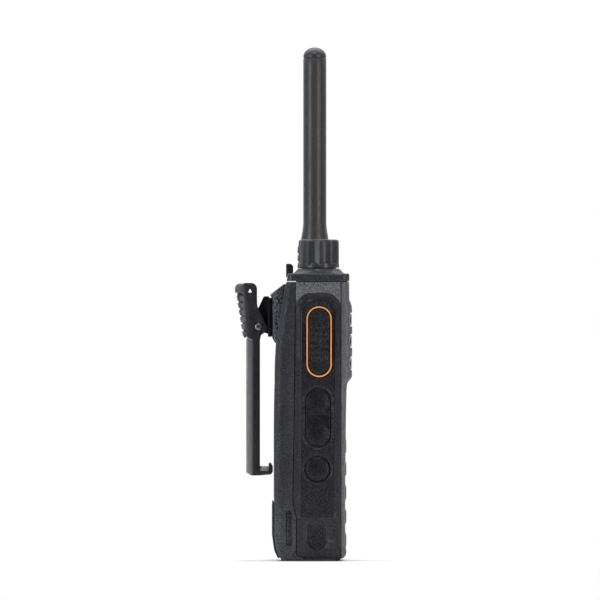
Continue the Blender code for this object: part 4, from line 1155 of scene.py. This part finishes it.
def make_grip():
    """Ribbed thumb pad on the lever's upper outer face."""
    outline = fillet([(-18.7, 103.9), (-20.6, 103.9), (-21.6, 103.3), (-22.0, 102.3), (-22.0, 99.9)],
                     [0, 1.2, 0.8, 1.2, 0.4], 4)
    ribs, top, pitch, groove, depth, lean = 6, 99.4, 2.65, 0.42, 1.7, 0.155
    for rib in range(ribs):
        high = top - rib * pitch
        low = high - pitch + groove
        left_high = -21.4 + lean * (top - high)
        left_low = -21.4 + lean * (top - low)
        outline += [(left_high + depth, high + groove), (left_high + depth, high), (left_high + 0.35, high),
                    (left_high, high - 0.4), (left_low, low + 0.4), (left_low + 0.35, low)]
    outline += [(-18.4, 83.4), (-17.4, 83.9)]

    def inset(point, y, d):
        """Wrap the pad round the lever's outer corners."""
        x, z = point
        share = min(max((-18.8 - x) / 1.6, 0.0), 1.0)
        return (x + d * share, y, z)

    grip = crowned("grip", outline, GRIP[1][1], inset, LEVER_CROWN, 0.5)
    core = [(-18.6, 103.0), (-21.0, 102.6), (-21.1, 99.6), (-20.3, 96.0), (-18.6, 85.6), (-17.6, 84.4)]
    join(grip, plate("grip_core", core, -6.0, 6.0))
    stand_in(smooth(round_edges(grip, 0.12, angle=50)), "clip_grip", "grip_rubber")


def make_latch():
    x, y, z = span("battery_latch")
    latch = round_edges(box("latch", (6.3, x[1]), y, z), 0.4, 3)
    join(latch, box("latch_hook", (x[0], 8.0), (-5.0, 5.0), (2.6, z[1])))
    for i in range(5):
        centre = -3.2 + 1.6 * i
        cut(latch, box("latch_groove", (7.2, 11.2), (centre - 0.35, centre + 0.35), (-1.0, 0.55)))
    stand_in(smooth(latch), "battery_latch", "latch_plastic")


# ---------------- carried-over nodes

KEPT = {
    "steel": ("chassis_screw_near", "chassis_screw_far", "clip_spring", "clip_screw", "rf_shield",
              "microphone", "volume_pot"),
    "cast_aluminium": ("chassis", "volume_shaft"),
    "brass": ("antenna_socket", "antenna_stud", "battery_contacts", "radio_contacts"),
    "seal_rubber": ("antenna_gasket", "case_seal"),
    "speaker_black": ("speaker", "accessory_socket"),
    "display_face": ("display_module",),
    "board_laminate": ("main_board", "side_switches"),
    "panel_rubber": ("keypad_mat",),
    "battery_plastic": ("battery_lid",),
    "cell_wrap": ("battery_cells",),
}


def dress_kept_nodes():
    for material, names in KEPT.items():
        for name in names:
            node = frame["nodes"][name]
            node.data.materials.clear()
            node.data.materials.append(MATERIALS[material])


# ---------------- stage, lights and camera

def make_stage():
    floor = bpy.data.meshes.new("floor")
    corners = ((-0.4, -0.15, 0), (0.4, -0.15, 0), (0.4, 0.4, 0), (-0.4, 0.4, 0))
    floor.from_pydata(corners, [], [(0, 1, 2, 3)])
    item = add_object("floor", floor)
    graph = new_material("floor_paper")
    graph.set("Base Color", graph.mix(graph.noise(3.0), (0.9, 0.9, 0.9), (0.94, 0.94, 0.94)))
    graph.set("Roughness", 0.9)
    floor.materials.append(MATERIALS["floor_paper"])


# Tent brightness for light (not for the camera): camera side, left and right, and overhead
FRONT_GLOW, SIDE_GLOW, TOP_GLOW = 0.1, 0.3, 3.2
LIGHT_REACH = 0.9            # distance of the softboxes from the radio, in plan, in metres
# Softboxes: name, azimuth from the camera's direction, height, size, radiance and colour
SOFTBOXES = (
    ("left_softbox", -51.0, 0.2, (0.22, 0.9), 6.5, (0.8, 0.9, 1.0)),
    ("right_softbox", 40.0, 0.2, (0.24, 0.9), 5.0, (1.0, 0.88, 0.88)),
    ("upper_softbox", -5.0, 1.9, (0.8, 0.6), 6.5, (1.0, 1.0, 1.0)),
)


def area_light(name, place, target, size, power, colour):
    data = bpy.data.lights.new(name, "AREA")
    data.shape = "RECTANGLE"
    data.size, data.size_y = size
    data.energy = power
    data.color = colour
    light = add_object(name, data)
    light.location = place
    light.rotation_euler = (Vector(target) - Vector(place)).to_track_quat("-Z", "Y").to_euler()


def make_lights():
    """White tent: bright at the sides and above, dim from the camera's side."""
    world = bpy.data.worlds.new("studio")
    bpy.context.scene.world = world
    graph = Graph(world, "Background", "Generated")
    depth, height = graph.axis("Y"), graph.axis("Z")
    behind = graph.ranged(depth, 0.1, 0.75, SIDE_GLOW, 1.0)
    before = graph.ranged(depth, -0.7, 0.1, FRONT_GLOW / SIDE_GLOW, 1.0)
    above = graph.math("MULTIPLY", graph.ranged(height, 0.5, 0.75, 0.0, TOP_GLOW),
                       graph.ranged(depth, -0.05, 0.2))
    tent = graph.math("MAXIMUM", graph.math("MULTIPLY", before, behind), above)
    shaded = graph.math("MULTIPLY", tent, graph.ranged(height, -0.08, 0.0, 0.25, 1.0))
    seen = graph.add("LightPath").outputs["Is Camera Ray"]
    graph.set("Strength", graph.math("MAXIMUM", shaded, seen))
    graph.set("Color", (1.0, 1.0, 1.0))
    for name, azimuth, up, size, radiance, colour in SOFTBOXES:
        angle = math.radians(azimuth)
        place = (LIGHT_REACH * math.sin(angle), -LIGHT_REACH * math.cos(angle), up)
        area_light(name, place, (0.0, 0.0, 0.1), size, radiance * math.pi * size[0] * size[1], colour)


def make_camera():
    data = bpy.data.cameras.new("camera")
    data.sensor_width = 36.0
    data.lens = 1200.0
    frame_width = 225.0 * MM
    distance = frame_width * data.lens / data.sensor_width
    camera = add_object("camera", data)
    camera.location = (2.44 * MM, -distance - 8.0 * MM, 97.7 * MM)
    camera.rotation_euler = (math.pi / 2, 0.0, 0.0)
    data.clip_start, data.clip_end = 0.05, 60.0
    bpy.context.scene.camera = camera
    bpy.context.scene.view_settings.view_transform = "Standard"


make_camera()
make_housing()
make_front_panel()
make_speaker_mesh()
make_keys()
make_display()
make_cap()
make_knob()
make_antenna()
make_side_panel()
make_ptt()
make_rocker()
make_side_key()
make_cover()
make_battery()
make_clip()
make_latch()
dress_kept_nodes()
make_stage()
make_lights()

bpy.context.view_layer.update()
